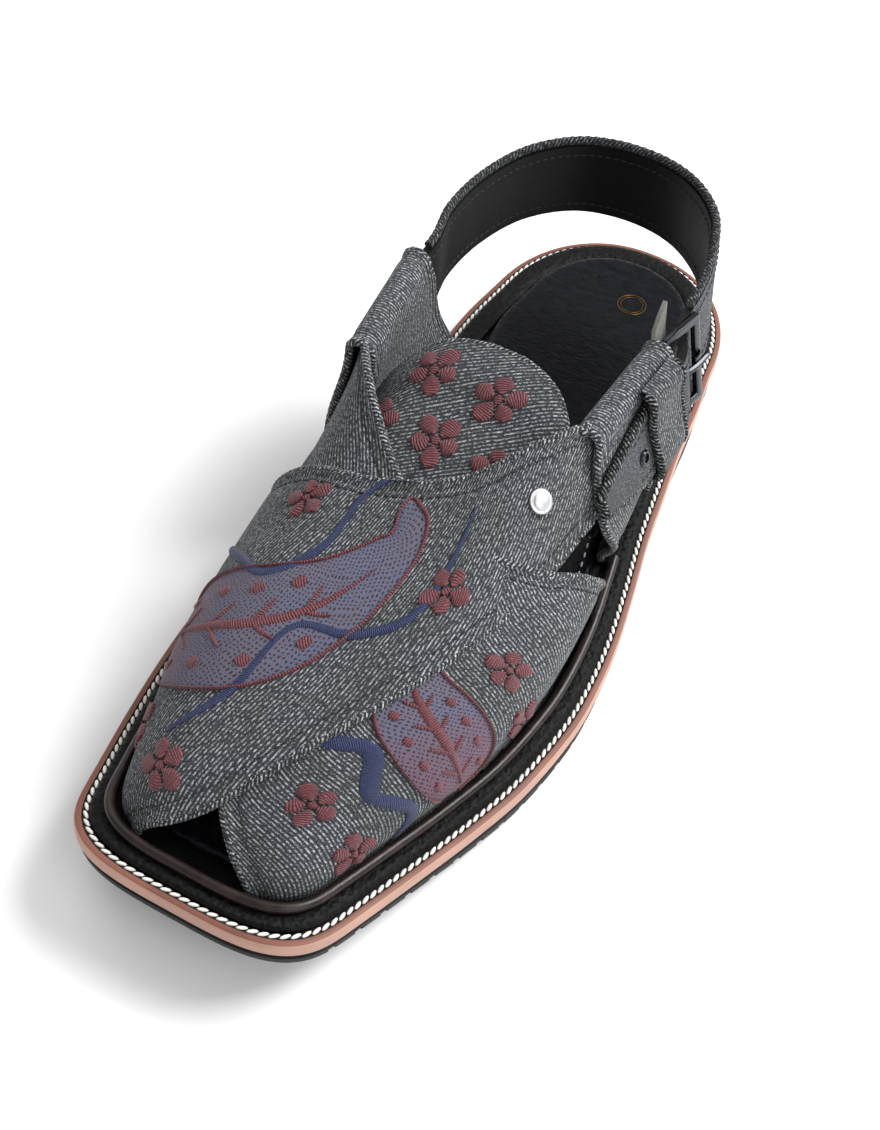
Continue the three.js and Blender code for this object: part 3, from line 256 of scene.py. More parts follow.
def ease(value):
    t = np.clip(value, 0, 1)
    return t * t * (3 - 2 * t)


def along_at(y):
    return (HALF_LENGTH - y) / SOLE_LENGTH


def y_at(along):
    return HALF_LENGTH - np.asarray(along) * SOLE_LENGTH


def outsole_top(y):
    along = along_at(y)
    heel = ease((FLAT_START - along) / (FLAT_START - HEEL_SEAT_END))
    toe = np.maximum(0, (along - FLAT_END) / (SPRING_END - FLAT_END))
    return OUTSOLE_THICKNESS + (HEEL_HEIGHT - OUTSOLE_THICKNESS) * heel + TOE_SPRING * toe * toe


def outsole_bottom(y):
    along = along_at(y)
    thinning = (OUTSOLE_THICKNESS - OUTSOLE_TOE_THICKNESS) * ease((along - FLAT_END) / 0.3)
    flat = outsole_top(y) - OUTSOLE_THICKNESS + thinning
    return flat * ease((along - HEEL_LENGTH / SOLE_LENGTH) / 0.02)


def midsole_top(y):
    return outsole_top(y) + GAP + MIDSOLE_THICKNESS


def side_x(side, y, inset):
    along = along_at(y)
    centre = OUTLINE.at("centre", along) * HALF_WIDTH
    half = OUTLINE.at("half", along) * HALF_WIDTH - inset
    heel_round = HEEL_ROUND - inset
    toe_round = np.maximum(9, TOE_CORNER - 0.6 * inset)
    heel = np.clip((heel_round - (HALF_LENGTH - inset - y)) / heel_round, 0, 1)
    toe = np.clip((toe_round - (y + HALF_LENGTH - inset)) / toe_round, 0, 1)
    rounding = (1 - heel ** HEEL_ROUNDNESS) ** (1 / HEEL_ROUNDNESS)
    rounding = rounding * (1 - toe ** TOE_SQUARENESS) ** (1 / TOE_SQUARENESS)
    return centre + side * half * rounding


def outline_ring(inset, count):
    """Plan points at an inset: heel centre, lateral side, toe centre, medial side."""
    turn = 2 * np.pi * np.arange(count) / count
    y = mix(HALF_LENGTH - inset, -HALF_LENGTH + inset, (1 - np.cos(turn)) / 2)
    return side_x(np.where(np.sin(turn) >= 0, LATERAL, MEDIAL), y, inset), y


def even_ring(inset, pitch):
    """The same ring with its points a set distance apart."""
    ring = np.stack(outline_ring(inset, FINE_RING), -1)
    ring = np.append(ring, ring[:1], 0)
    length = path_lengths(ring)
    count = max(3, round(length[-1] / pitch))
    return along_path(ring, length[-1] * np.arange(count) / count, length).T


FOOT_X, FOOT_Y = outline_ring(FOOT_INSET, FOOTBED_RING)


def nearest_on_foot(x, y):
    """Distance to the foot ring and the point on it, for each plan point."""
    ax, ay = FOOT_X, FOOT_Y
    span_x, span_y = np.roll(ax, -1) - ax, np.roll(ay, -1) - ay
    best = [np.empty(len(x)) for _ in range(3)]
    for start in range(0, len(x), POINTS_AT_ONCE):
        part = slice(start, start + POINTS_AT_ONCE)
        dx, dy = x[part, None] - ax, y[part, None] - ay
        t = np.clip((dx * span_x + dy * span_y) / (span_x**2 + span_y**2), 0, 1)
        px, py = ax + t * span_x, ay + t * span_y
        distance = np.hypot(x[part, None] - px, y[part, None] - py)
        i = distance.argmin(1)
        for kept, values in zip(best, (distance, px, py)):
            kept[part] = values[np.arange(len(i)), i]
    return best


def last_points(x, y):
    """The last under the straps, over plan points of any shape."""
    shape = x.shape
    x, y = x.ravel(), y.ravel()
    along = along_at(y)
    foot = midsole_top(y) + GAP
    distance, near_x, near_y = nearest_on_foot(x, y)
    rise = np.clip(distance / (LAST.at("shoulder", along) * HALF_WIDTH), 0, 1)
    ratio = (1 - (1 - rise) ** SHOULDER_ROUNDNESS) ** (1 / SHOULDER_ROUNDNESS)
    camber = 1 - CROWN_CAMBER * (x / HALF_WIDTH - OUTLINE.at("centre", along)) ** 2
    crown = LAST.at("crown", along) * INSTEP_HEIGHT * camber
    swell = STRAP_BULGE * np.sin(np.pi * ratio) ** 2 * np.clip((0.99 - along) / 0.2, 0, 1)
    reach = np.maximum(distance, 1e-6)
    points = [x + (near_x - x) / reach * swell, y + (near_y - y) / reach * swell, mix(foot, crown, ratio)]
    return np.stack(points, -1).reshape(*shape, 3)


def quarter_x(side, y, height):
    table = LATERAL_QUARTER if side > 0 else MEDIAL_QUARTER
    front_fold, rear_fold = LATERAL_FOLD if side > 0 else MEDIAL_FOLD
    front, rear = y_at(table.at("front", 1)), y_at(table.at("rear", 1))
    top = mix(front_fold, rear_fold, (y - front) / (rear - front)) * HALF_WIDTH
    foot = side_x(side, y, FOOT_INSET - WALL)
    bulge = side * (LATERAL_BULGE if side > 0 else MEDIAL_BULGE)
    return mix(foot, top, height) + bulge * np.sin(np.pi * np.clip(height, 0, 1)) ** 2


def quarter_z(y, height):
    return mix(midsole_top(y) + GAP, COLLAR_HEIGHT - FOLD_RADIUS, height)


def quarter_height(y, z):
    foot = midsole_top(y) + GAP
    return (z - foot) / (COLLAR_HEIGHT - FOLD_RADIUS - foot)


def quarter_face(side, y, z):
    height = np.minimum(1, quarter_height(y, z))
    over = np.maximum(0, z - (COLLAR_HEIGHT - FOLD_RADIUS))
    roll = FOLD_RADIUS - np.sqrt(np.maximum(0, FOLD_RADIUS**2 - over**2))
    return quarter_x(side, y, height) - side * roll


def crowded(count):
    """Shares from 0 to 1 that lie closer together near both ends, where the hems are."""
    even = np.linspace(0, 1, count + 1)
    return mix(even, (1 - np.cos(np.pi * even)) / 2, 0.8)


def stack(x, y, z):
    return np.stack(np.broadcast_arrays(x, y, z), -1).astype(float)


def unit(vectors):
    """Vectors of length one along the last axis."""
    return vectors / np.maximum(np.linalg.norm(vectors, axis=-1, keepdims=True), 1e-9)


def off_quarter(side, y, z, distance):
    """Point off a quarter's outer face, outward where the distance is positive."""
    def at(dy, dz):
        return stack(quarter_face(side, y + dy, z + dz), y + dy, z + dz)
    normal = unit(np.cross(at(0.5, 0) - at(-0.5, 0), at(0, 0.5) - at(0, -0.5)))
    return at(0, 0) + normal * side * distance


def grid_normals(grid):
    return unit(np.cross(np.gradient(grid, axis=0), np.gradient(grid, axis=1)))


def arc_lengths(grid, axis):
    """Distance along one axis of a grid of points, from its first row or column."""
    step = np.linalg.norm(np.diff(grid, axis=axis), axis=-1)
    return np.concatenate([np.zeros_like(np.take(step, [0], axis)), np.cumsum(step, axis)], axis)


def path_lengths(points):
    return arc_lengths(points[:, None], 0)[:, 0]


def along_path(points, wanted, lengths):
    """Points at wanted distances along a path whose own points lie at the lengths given."""
    return np.stack([np.interp(wanted, lengths, column) for column in points.T], -1)


def curve_points(points, steps):
    """Centripetal curve through points, sampled evenly in its parameter, as the strap's solid is."""
    p = np.array(points, float)
    p = np.vstack([2 * p[0] - p[1], p, 2 * p[-1] - p[-2]])
    count = len(p) - 3
    position = np.linspace(0, count, steps + 1)
    i = np.minimum(position.astype(int), count - 1)
    t = (position - i)[:, None]
    a, b, c, d = p[i], p[i + 1], p[i + 2], p[i + 3]
    gaps = [np.linalg.norm(q - r, axis=1, keepdims=True) ** 0.5 for q, r in ((b, a), (c, b), (d, c))]
    first = ((b - a) / gaps[0] - (c - a) / (gaps[0] + gaps[1]) + (c - b) / gaps[1]) * gaps[1]
    second = ((c - b) / gaps[1] - (d - b) / (gaps[1] + gaps[2]) + (d - c) / gaps[2]) * gaps[1]
    square, cube = t * t, t * t * t
    return (2 * cube - 3 * square + 1) * b + (cube - 2 * square + t) * first \
        + (3 * square - 2 * cube) * c + (cube - square) * second


def buckle_bar(share):
    """Centre of the buckle's front bar at a share of the strap's width."""
    top = mix(STRAP_LOOP[-1][2], STRAP_TAIL[0][1], 0.6) * COLLAR_HEIGHT
    x = quarter_x(LATERAL, y_at(STRAP_TAIL[0][0]), 1) + 0.2 - CHAPE_REACH
    return np.array([x + BUCKLE_LEAN * (1 - share), y_at(BUCKLE_FRONT),
                     top - STRAP_WIDTH_AT_BUCKLE * (1 - share)])


def strap_line(share, steps):
    """One line along the heel strap's outer face, at a share of its width."""
    points = []
    for along in SLEEVE_STRAP:
        top = COLLAR_HEIGHT - FOLD_RADIUS + 0.4
        z = mix(top - STRAP_WIDTH, top, share)
        points.append(off_quarter(MEDIAL, y_at(along), z, STRAP_THICKNESS / 2 - FOLD_RADIUS))
    for along, across, top in STRAP_LOOP:
        to_buckle = float(ease((along - 0.12) / 0.17)) if across > 0 else 0.0
        width = mix(STRAP_WIDTH, STRAP_WIDTH_AT_BUCKLE, to_buckle)
        x = across * HALF_WIDTH + BUCKLE_LEAN * to_buckle * (1 - share)
        points.append(np.array([x, y_at(along), top * COLLAR_HEIGHT - width * (1 - share)]))
    bar = buckle_bar(share)
    points.append(bar + [CHAPE_REACH + GAP + STRAP_THICKNESS, 0, 0])
    for along, top, low in STRAP_TAIL:
        z = mix(low, top, share) * COLLAR_HEIGHT
        points.append(off_quarter(LATERAL, y_at(along), z, STRAP_THICKNESS + 2 * GAP))
    return curve_points(points, steps)


def foot_path(start, end, side, shares):
    """Points on the foot ring from a strap's front corner to its rear corner."""
    _, y = outline_ring(FOOT_INSET, 160)
    y = y[:81][::-1]
    line = np.stack([side_x(side, y, FOOT_INSET), y], -1)
    length = path_lengths(line)
    first = length[np.argmax(np.abs(line[:, 0] - line[0, 0]) >= abs(start[0] - line[0, 0]))]
    last = length[np.argmax(y >= end[1])]
    return along_path(line, mix(first, last, shares), length).T


def strap_outer(table, foot_side, lift, throat, runs, across):
    """Outer face of a crossed strap, rows along its run, turned so that rows x columns point out."""
    shares = crowded(across)
    share = np.arange(runs + 1) / runs
    run = share ** 1.5

    def edge(end, where):
        return table.at(f"{end}Across", where) * HALF_WIDTH, y_at(table.at(f"{end}Along", where))

    corner = [edge(end, 0) for end in ("front", "rear")]
    line = [edge(end, run) for end in ("front", "rear")]
    foot = foot_path(*corner, foot_side, shares)
    fade = ((1 - np.clip(run / 0.75, 0, 1)) ** 2)[:, None]
    plan = [mix(line[0][k][:, None], line[1][k][:, None], shares)
            + (foot[k] - mix(corner[0][k], corner[1][k], shares)) * fade for k in (0, 1)]
    base = last_points(*plan)
    target_y = mix(throat["front_y"], throat["rear_y"], shares)
    target_z = mix(throat["front_z"], throat["rear_z"], shares)
    target_x = quarter_x(-foot_side, target_y, quarter_height(target_y, target_z)) + foot_side
    target = stack(target_x, target_y, target_z)
    if foot_side > 0:
        base, target = base[:, ::-1], target[::-1]
    outer = base + grid_normals(base) * (WALL + lift(share))[:, None, None]
    blend = ease((share - 0.72) / 0.28)[:, None, None]
    return outer + (target - outer[-1]) * blend


def top_lift(share):
    return UNDER_LIFT * ease(share / 0.2) + (TOP_LIFT - UNDER_LIFT) * ease((share - 0.05) / 0.25)


def under_lift(share):
    return UNDER_LIFT * ease(share / 0.2)


TOP_THROAT = {"front_y": 2, "front_z": 57, "rear_y": 10, "rear_z": 77}
UNDER_THROAT = {"front_y": 2, "front_z": 47, "rear_y": 6, "rear_z": 77}


def quarter_grid(side, wall_steps, roll_steps, sleeve_steps, spans):
    """Outer face of a quarter: up the wall, over the roll and down inside as a sleeve."""
    table = LATERAL_QUARTER if side > 0 else MEDIAL_QUARTER
    across = crowded(spans)

    def place(height):
        return mix(y_at(table.at("front", height)), y_at(table.at("rear", height)), across)

    rows = []
    for height in np.linspace(0, 1, wall_steps + 1):
        y = place(height)
        rows.append(stack(quarter_x(side, y, height), y, quarter_z(y, height)))
    for turn in np.pi * np.arange(1, roll_steps + 1) / roll_steps:
        y = place(1)
        x = quarter_x(side, y, 1) - side * FOLD_RADIUS * (1 - math.cos(turn))
        rows.append(stack(x, y, quarter_z(y, 1) + FOLD_RADIUS * math.sin(turn)))
    for drop in FOLD_DEPTH * np.arange(1, sleeve_steps + 1) / sleeve_steps:
        top = place(1)
        height = quarter_height(top, COLLAR_HEIGHT - FOLD_RADIUS - drop)
        front = max(top[0], y_at(table.at("front", height[0])))
        y = mix(front, y_at(table.at("rear", height[-1])), across)
        level = quarter_height(y, COLLAR_HEIGHT - FOLD_RADIUS - drop)
        rows.append(stack(quarter_x(side, y, level) - side * 2 * FOLD_RADIUS, y, quarter_z(y, level)))
    grid = np.array(rows)
    return grid[:, ::-1] if side > 0 else grid


def sheet_quads(rows, columns, start, flip):
    i, j = np.meshgrid(np.arange(rows - 1), np.arange(columns - 1), indexing="ij")
    a = start + i * columns + j
    quads = np.stack([a, a + columns, a + columns + 1, a + 1], -1).reshape(-1, 4)
    return quads[:, ::-1] if flip else quads


def slab(outer, inner):
    """Closed solid between two grids: its points, its faces, and 0 outer, 1 inner, 2 rim for each face."""
    rows, columns = outer.shape[:2]
    under = rows * columns
    faces = [sheet_quads(rows, columns, 0, False), sheet_quads(rows, columns, under, True)]
    rim = np.concatenate([
        np.arange(columns), np.arange(1, rows) * columns + columns - 1,
        (rows - 1) * columns + np.arange(columns - 2, -1, -1), np.arange(rows - 2, 0, -1) * columns,
    ])
    after = np.roll(rim, -1)
    faces.append(np.stack([rim, after, after + under, rim + under], -1))
    kinds = np.concatenate([np.full(len(f), k) for k, f in enumerate(faces)])
    points = np.concatenate([outer.reshape(-1, 3), inner.reshape(-1, 3)])
    return points, np.concatenate(faces), kinds


def ring_quads(levels, sides):
    """Faces between stacked closed rings of points."""
    i, j = np.divmod(np.arange((levels - 1) * sides), sides)
    here, after = i * sides + j, i * sides + (j + 1) % sides
    return np.stack([here, after, after + sides, here + sides], -1)


def end_fans(levels, sides):
    """Faces that close a stack of rings with the two middle points that follow its own points."""
    last, head = (levels - 1) * sides, levels * sides
    return [[head, (k + 1) % sides, k] for k in range(sides)] \
        + [[head + 1, last + k, last + (k + 1) % sides] for k in range(sides)]


def tube(path, radius, sides, twist=0.0, lobes=0.0):
    """Round or twisted cord along a path, closed at both ends: points, faces and their flat coordinates."""
    tangent = unit(np.gradient(path, axis=0))
    normals = [np.cross(tangent[0], [0, 0, 1.0])]
    for t in tangent[1:]:
        normals.append(unit(normals[-1] - t * (normals[-1] @ t)))
    normals[0] = normals[1]
    normal = np.array(normals)
    length = path_lengths(path)
    angle = 2 * np.pi * np.arange(sides) / sides
    reach = radius * (1 + lobes * np.cos(2 * angle[None] - twist * length[:, None]))
    other = np.cross(tangent, normal)
    out = np.cos(angle)[:, None] * normal[:, None] + np.sin(angle)[:, None] * other[:, None]
    ring = path[:, None] + reach[..., None] * out
    points = np.concatenate([ring.reshape(-1, 3), path[[0, -1]]])
    i, j = np.divmod(np.arange((len(path) - 1) * sides), sides)
    girth = 2 * np.pi * radius / sides
    corners = ((i, j), (i, j + 1), (i + 1, j + 1), (i + 1, j))
    uv = np.stack([np.stack([length[row], column * girth], -1) for row, column in corners], 1)
    ends = np.repeat([[0, 0], [length[-1], 0]], 3 * sides, axis=0)
    faces = ring_quads(len(path), sides).tolist() + end_fans(len(path), sides)
    return points, faces, np.concatenate([uv.reshape(-1, 2), ends])


def smooth_path(points, steps):
    """Evenly spaced points on the curve through a few given ones."""
    dense = curve_points(points, 40 * len(points))
    length = path_lengths(dense)
    return along_path(dense, np.linspace(0, length[-1], steps), length)


def respaced(points, pitch):
    """The same path with its points a set distance apart."""
    length = path_lengths(points)
    count = max(2, int(length[-1] / pitch) + 1)
    return along_path(points, np.linspace(0, length[-1], count), length)


def linked(name, data):
    """A mesh, lamp or camera as an object in the scene, at the origin."""
    piece = bpy.data.objects.new(name, data)
    bpy.context.scene.collection.objects.link(piece)
    return piece


def smooth(mesh, corner):
    """Smooth shading but for corners sharper than an angle in degrees."""
    mesh.polygons.foreach_set("use_smooth", np.ones(len(mesh.polygons), bool))
    mesh.set_sharp_from_angle(angle=math.radians(corner))


def made_plain(piece):
    """Puts the mesh that a piece's modifiers give in their place."""
    graph = bpy.context.evaluated_depsgraph_get()
    mesh = bpy.data.meshes.new_from_object(piece.evaluated_get(graph))
    piece.modifiers.clear()
    piece.data = mesh
    return piece


def build(name, points, faces, materials, kinds=None, uv=None, corner=35):
    """A piece as a mesh object in metres, with flat coordinates for each point or each face's corner."""
    mesh = bpy.data.meshes.new(name)
    faces = faces.tolist() if isinstance(faces, np.ndarray) else faces
    mesh.from_pydata((np.asarray(points) * MM).tolist(), [], faces)
    for material in materials:
        mesh.materials.append(material)
    if kinds is not None:
        mesh.polygons.foreach_set("material_index", np.asarray(kinds, np.int32))
    if uv is not None:
        if len(uv) == len(points):
            uv = uv[[k for face in faces for k in face]]
        mesh.uv_layers.new(name="cloth").data.foreach_set("uv", np.asarray(uv, np.float32).ravel())
    smooth(mesh, corner)
    mesh.update()
    return linked(name, mesh)


def settle(piece, slot, *nodes):
    """Every piece rides on the one body, and hides the solids it stands for; its slot is not used."""
    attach(piece, "root")
    if nodes:
        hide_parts(*nodes)
    return piece


def solid_copy(name, node, material, bevel):
    """A solid's own mesh, merged, with rounded edges and a finish."""
    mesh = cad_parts[node].data.copy()
    mesh.materials.clear()
    mesh.materials.append(material)
    piece = linked(name, mesh)
    weld = piece.modifiers.new("weld", "WELD")
    weld.merge_threshold = 0.00001
    round_edges = piece.modifiers.new("edges", "BEVEL")
    round_edges.width = bevel * MM
    round_edges.segments = 3
    round_edges.limit_method = "ANGLE"
    smooth(made_plain(piece).data, 40)
    return piece


class Cloth:
    """A cloth face with flat coordinates in millimetres: u along its run, v across from its middle line."""

    def __init__(self, grid, thickness):
        self.grid = grid
        self.normal = grid_normals(grid)
        self.inner = grid - self.normal * thickness
        self.middle = (grid + self.inner) / 2
        middle = grid.shape[1] // 2
        self.u = arc_lengths(grid, 0)[:, middle]
        across = arc_lengths(grid, 1)
        self.v = across - across[:, [middle]]

    def uv(self):
        return np.stack([np.broadcast_to(self.u[:, None], self.v.shape), self.v], -1).reshape(-1, 2)

    def edges(self, start, stop):
        """Both long edges of the panel, in the middle of its thickness."""
        return [self.middle[start:stop, side] for side in (0, -1)]

    def place(self, u, v, lift):
        """Points over the cloth at flat coordinates, lifted off its face."""
        u, v, lift = (np.asarray(q, float) for q in np.broadcast_arrays(u, v, lift))
        shape = u.shape
        row = np.interp(u.ravel(), self.u, np.arange(len(self.u)))
        low = np.minimum(row.astype(int), len(self.u) - 2)
        share = row - low
        columns = np.arange(self.v.shape[1])
        points = np.zeros((row.size, 3))
        for k in range(row.size):
            total = np.zeros(3)
            for r, weight in ((low[k], 1 - share[k]), (low[k] + 1, share[k])):
                c = float(np.interp(v.flat[k], self.v[r], columns))
                j = min(int(c), len(columns) - 2)
                f = c - j
                at = self.grid[r, j] * (1 - f) + self.grid[r, j + 1] * f
                out = self.normal[r, j] * (1 - f) + self.normal[r, j + 1] * f
                total += weight * (at + out * lift.flat[k])
            points[k] = total
        return points.reshape(*shape, 3)


class Value:
    """A shader socket that takes part in arithmetic."""

    def __init__(self, paint, socket):
        self.paint = paint
        self.socket = socket

    def math(self, operation, other=None, first=False):
        pair = [self, other] if not first else [other, self]
        inputs = {k: value for k, value in enumerate(pair) if value is not None}
        return self.paint.node("ShaderNodeMath", {"operation": operation}, inputs)

    def __add__(self, other):
        return self.math("ADD", other)

    def __sub__(self, other):
        return self.math("SUBTRACT", other)

    def __rsub__(self, other):
        return self.math("SUBTRACT", other, first=True)

    def __mul__(self, other):
        return self.math("MULTIPLY", other)

    __radd__ = __add__
    __rmul__ = __mul__

    def ribs(self, pitch):
        """A wave from -1 to 1 whose crests are a pitch apart."""
        return (self * (2 * math.pi / pitch)).math("COSINE")

    def between(self, low, high):
        """0 below low, 1 above high, smooth between."""
        settings = {"interpolation_type": "SMOOTHSTEP"}
        inputs = {"Value": self, "From Min": low, "From Max": high}
        return self.paint.node("ShaderNodeMapRange", settings, inputs)


class Nodes:
    """A node tree that makes and links every node in one way."""

    def node(self, kind, settings, inputs, output=0):
        made = self.tree.nodes.new(kind)
        for name, value in settings.items():
            setattr(made, name, value)
        for name, value in inputs.items():
            self.feed(made.inputs[name], value)
        return Value(self, made.outputs[output])

    def feed(self, socket, value):
        if isinstance(value, Value):
            self.tree.links.new(value.socket, socket)
        else:
            socket.default_value = value

    def point(self, x, y, z=0.0):
        return self.node("ShaderNodeCombineXYZ", {}, {0: x, 1: y, 2: z})


class Paint(Nodes):
    """One material and its nodes."""

    def __init__(self, name):
        self.material = bpy.data.materials.new(name)
        self.material.use_nodes = True
        self.tree = self.material.node_tree
        self.shader = self.tree.nodes["Principled BSDF"]

    def surface(self, **settings):
        for label, value in settings.items():
            self.feed(self.shader.inputs[label.replace("_", " ")], value)

    def flat(self):
        """Cloth coordinates in millimetres."""
        place = self.node("ShaderNodeUVMap", {"uv_map": "cloth"}, {})
        return [self.node("ShaderNodeSeparateXYZ", {}, {0: place}, k) for k in (0, 1)]

    def space(self, scale=None):
        """Object coordinates in metres, stretched by a scale."""
        place = self.node("ShaderNodeTexCoord", {}, {}, "Object")
        if scale is None:
            return place
        return self.node("ShaderNodeVectorMath", {"operation": "MULTIPLY"}, {0: place, 1: scale})

    def noise(self, vector, scale=1.0, detail=2.0, roughness=0.5):
        inputs = {"Vector": vector, "Scale": scale, "Detail": detail, "Roughness": roughness}
        return self.node("ShaderNodeTexNoise", {}, inputs)

    def cells(self, vector, scale=1.0):
        return self.node("ShaderNodeTexVoronoi", {}, {"Vector": vector, "Scale": scale})

    def blend(self, share, low, high):
        return self.node("ShaderNodeMix", {"data_type": "RGBA"}, {0: share, 6: low, 7: high}, 2)

    def relief(self, height, depth):
        """Bump of a height from 0 to 1, its depth in millimetres."""
        inputs = {"Height": height, "Distance": depth * MM, "Strength": 1.0}
        self.surface(Normal=self.node("ShaderNodeBump", {}, inputs))


class Tree(Nodes):
    """A Geometry Nodes tree with named inputs that ends in real meshes with a material."""

    def __init__(self, name, inputs, result):
        self.tree = bpy.data.node_groups.new(name, "GeometryNodeTree")
        for label, kind in inputs.items():
            self.tree.interface.new_socket(label, in_out="INPUT", socket_type=f"NodeSocket{kind}")
        self.tree.interface.new_socket(result, in_out="OUTPUT", socket_type="NodeSocketGeometry")
        enter = self.tree.nodes.new("NodeGroupInput")
        self.given = {label: Value(self, enter.outputs[label]) for label in inputs}

    def copies(self, shape, **turned):
        """The shape on every given point."""
        inputs = {"Points": self.given["Points"], "Instance": shape, **turned}
        return self.node("GeometryNodeInstanceOnPoints", {}, inputs)

    def real(self, shapes):
        return self.node("GeometryNodeRealizeInstances", {}, {"Geometry": shapes})

    def end(self, shapes, material):
        inputs = {"Geometry": self.real(shapes), "Material": material}
        dressed = self.node("GeometryNodeSetMaterial", {}, inputs)
        self.feed(self.tree.nodes.new("NodeGroupOutput").inputs[0], dressed)
        return self.tree


def tone(red, green, blue):
    """A colour seen in the photograph's 0 to 255 terms, as the shader's linear colour."""
    parts = [v / 255 for v in (red, green, blue)]
    return (*[v / 12.92 if v <= 0.04045 else ((v + 0.055) / 1.055) ** 2.4 for v in parts], 1.0)


def shaded(colour, share):
    """A colour made darker or lighter by a share."""
    return (*(min(1.0, part * share) for part in colour[:3]), 1.0)


def colour_property(label, about, value):
    return FloatVectorProperty(name=label, description=about, default=value, size=4, min=0, max=1,
                               subtype="COLOR")


def size_property(label, about, millimetres):
    return FloatProperty(name=label, description=about, default=millimetres * MM, min=0,
                         subtype="DISTANCE", unit="LENGTH")


class ChappalColours(bpy.types.PropertyGroup):
    """Colours of the cloth, leather, thread and metal."""

    denim: colour_property("Denim", "Ground colour of the twill", tone(35, 38, 40))
    denim_light: colour_property("Denim flecks", "Bare weft between the twill's ridges", tone(190, 194, 194))
    mauve: colour_property("Mauve thread", "Body of the curled teardrops", tone(76, 74, 90))
    maroon: colour_property("Maroon thread", "Outlines, stems and blossoms", tone(104, 54, 60))
    blue: colour_property("Blue thread", "Tendrils", tone(38, 47, 84))
    welt_side: colour_property("Sole leather, side", "Light tan edge of the midsole", tone(172, 134, 118))
    welt_top: colour_property("Sole leather, ledge", "Darker ledge of the midsole", tone(112, 70, 56))
    black: colour_property("Black leather", "Rand, footbed and lining", tone(10, 10, 11))
    piping: colour_property("Piping", "Rolled leather round the forefoot", tone(16, 9, 8))
    rubber: colour_property("Rubber", "Outsole", tone(24, 24, 25))
    thread: colour_property("White thread", "Stitches of the welt", tone(226, 222, 216))
    gold: colour_property("Gold foil", "Stamped ring on the footbed", tone(132, 104, 54))
    felt: colour_property("Felt", "Guard tab behind the buckle", tone(92, 92, 82))
    metal: colour_property("Buckle metal", "Dark polished frame and prong", tone(60, 61, 65))


class ChappalSizes(bpy.types.PropertyGroup):
    """Sizes of the sewn detail."""

    welt_pitch: size_property("Welt stitch pitch", "From one white stitch to the next", 2.8)
    welt_length: size_property("Welt stitch length", "Length of a white stitch", 3.3)
    welt_width: size_property("Welt stitch width", "Width of a white stitch", 1.15)
    seam_pitch: size_property("Seam stitch pitch", "Stitches along the straps' hems", 2.4)
    twill_pitch: size_property("Twill pitch", "From one ridge of the denim to the next", 1.12)
    hem_radius: size_property("Hem radius", "Folded edge of the denim", 1.25)
    thread_height: size_property("Embroidery height", "How far the embroidery stands off the cloth", 0.55)


def colours():
    return bpy.context.scene.chappal_colours


def sizes():
    return bpy.context.scene.chappal_sizes


def painted(*fixed):
    """Makes a function that paints a material into one that finds it by name and paints it only once."""
    def wrap(coat):
        def find(*settings):
            name, *rest = (*fixed, *settings)
            made = bpy.data.materials.get(name)
            if made is None:
                paint = Paint(name)
                coat(paint, *rest)
                made = paint.material
            return made
        return find
    return wrap


@painted()
def denim(paint, degrees, light=1.0, ground=1.0):
    """Twill whose ridges run at an angle to the cloth's run, with broken pale flecks between them."""
    paint.surface(Roughness=0.88, Sheen_Weight=0.06, Sheen_Roughness=0.5, Specular_IOR_Level=0.15)
    u, v = paint.flat()
    cos, sin = math.cos(math.radians(degrees - 90)), math.sin(math.radians(degrees - 90))
    across, run = u * cos + v * sin, v * cos - u * sin
    pitch = sizes().twill_pitch / MM
    sway = paint.noise(paint.point(across * 0.11, run * 0.06))
    ridge = (across + sway * 1.4).ribs(pitch) * 0.5 + 0.5
    thread = paint.noise(paint.point(across * (1.3 / pitch), run * 0.85), 1.0, 4.0, 0.75)
    worn = paint.noise(paint.point(u * 0.05, v * 0.05, 3.0), 1.0, 3.0)
    fine = paint.noise(paint.point(u * 3.2, v * 3.2, 1.0))
    fleck = ridge.between(0.3, 0.98) * thread.between(0.44, 0.62) * (worn * 0.9 + 0.35) * (fine * 1.1 + 0.4)
    dark, bluish, grey = (shaded(c, ground) for c in (colours().denim, tone(37, 38, 48), tone(91, 94, 96)))
    shade = paint.blend(worn.between(0.35, 0.7), dark, bluish)
    cloth = paint.blend(fine.between(0.35, 0.8) * 0.55, shade, grey)
    paint.surface(Base_Color=paint.blend(fleck * light, cloth, colours().denim_light[:]))
    paint.relief(ridge * 0.7 + thread * 0.5 + fine * 0.3, 0.16)


@painted("black_lining")
def lining(paint):
    grain = paint.noise(paint.space(), 900.0, 3.0)
    paint.surface(Specular_IOR_Level=0.25, Base_Color=colours().black[:], Roughness=grain * 0.25 + 0.4)
    paint.relief(grain, 0.05)


@painted()
def plain_thread(paint, colour):
    paint.surface(Roughness=0.75, Base_Color=colour)
    paint.relief(paint.noise(paint.space(), 2600.0), 0.06)


@painted()
def satin_stitch(paint, colour, pitch=0.75, groove=0.42):
    """Threads laid side by side across a shape's length, with painted shade in the troughs between them."""
    paint.surface(Roughness=0.6, Sheen_Weight=0.1, Specular_IOR_Level=0.3)
    u, v = paint.flat()
    sway = paint.noise(paint.point(u * 0.5, v * 0.9))
    rib = (u + v * 0.35 + sway * 0.7).ribs(pitch) * 0.5 + 0.5
    tuft = paint.noise(paint.point(u * 0.8, v * 0.8, 2.0))
    body = paint.blend(tuft.between(0.35, 0.68), colour, shaded(colour, 1.5))
    # Painted shade: the troughs between the threads take a darker copy of the thread colour.
    paint.surface(Base_Color=paint.blend(rib.between(0.05, 0.6), shaded(colour, groove), body))
    paint.relief(rib, 0.25)


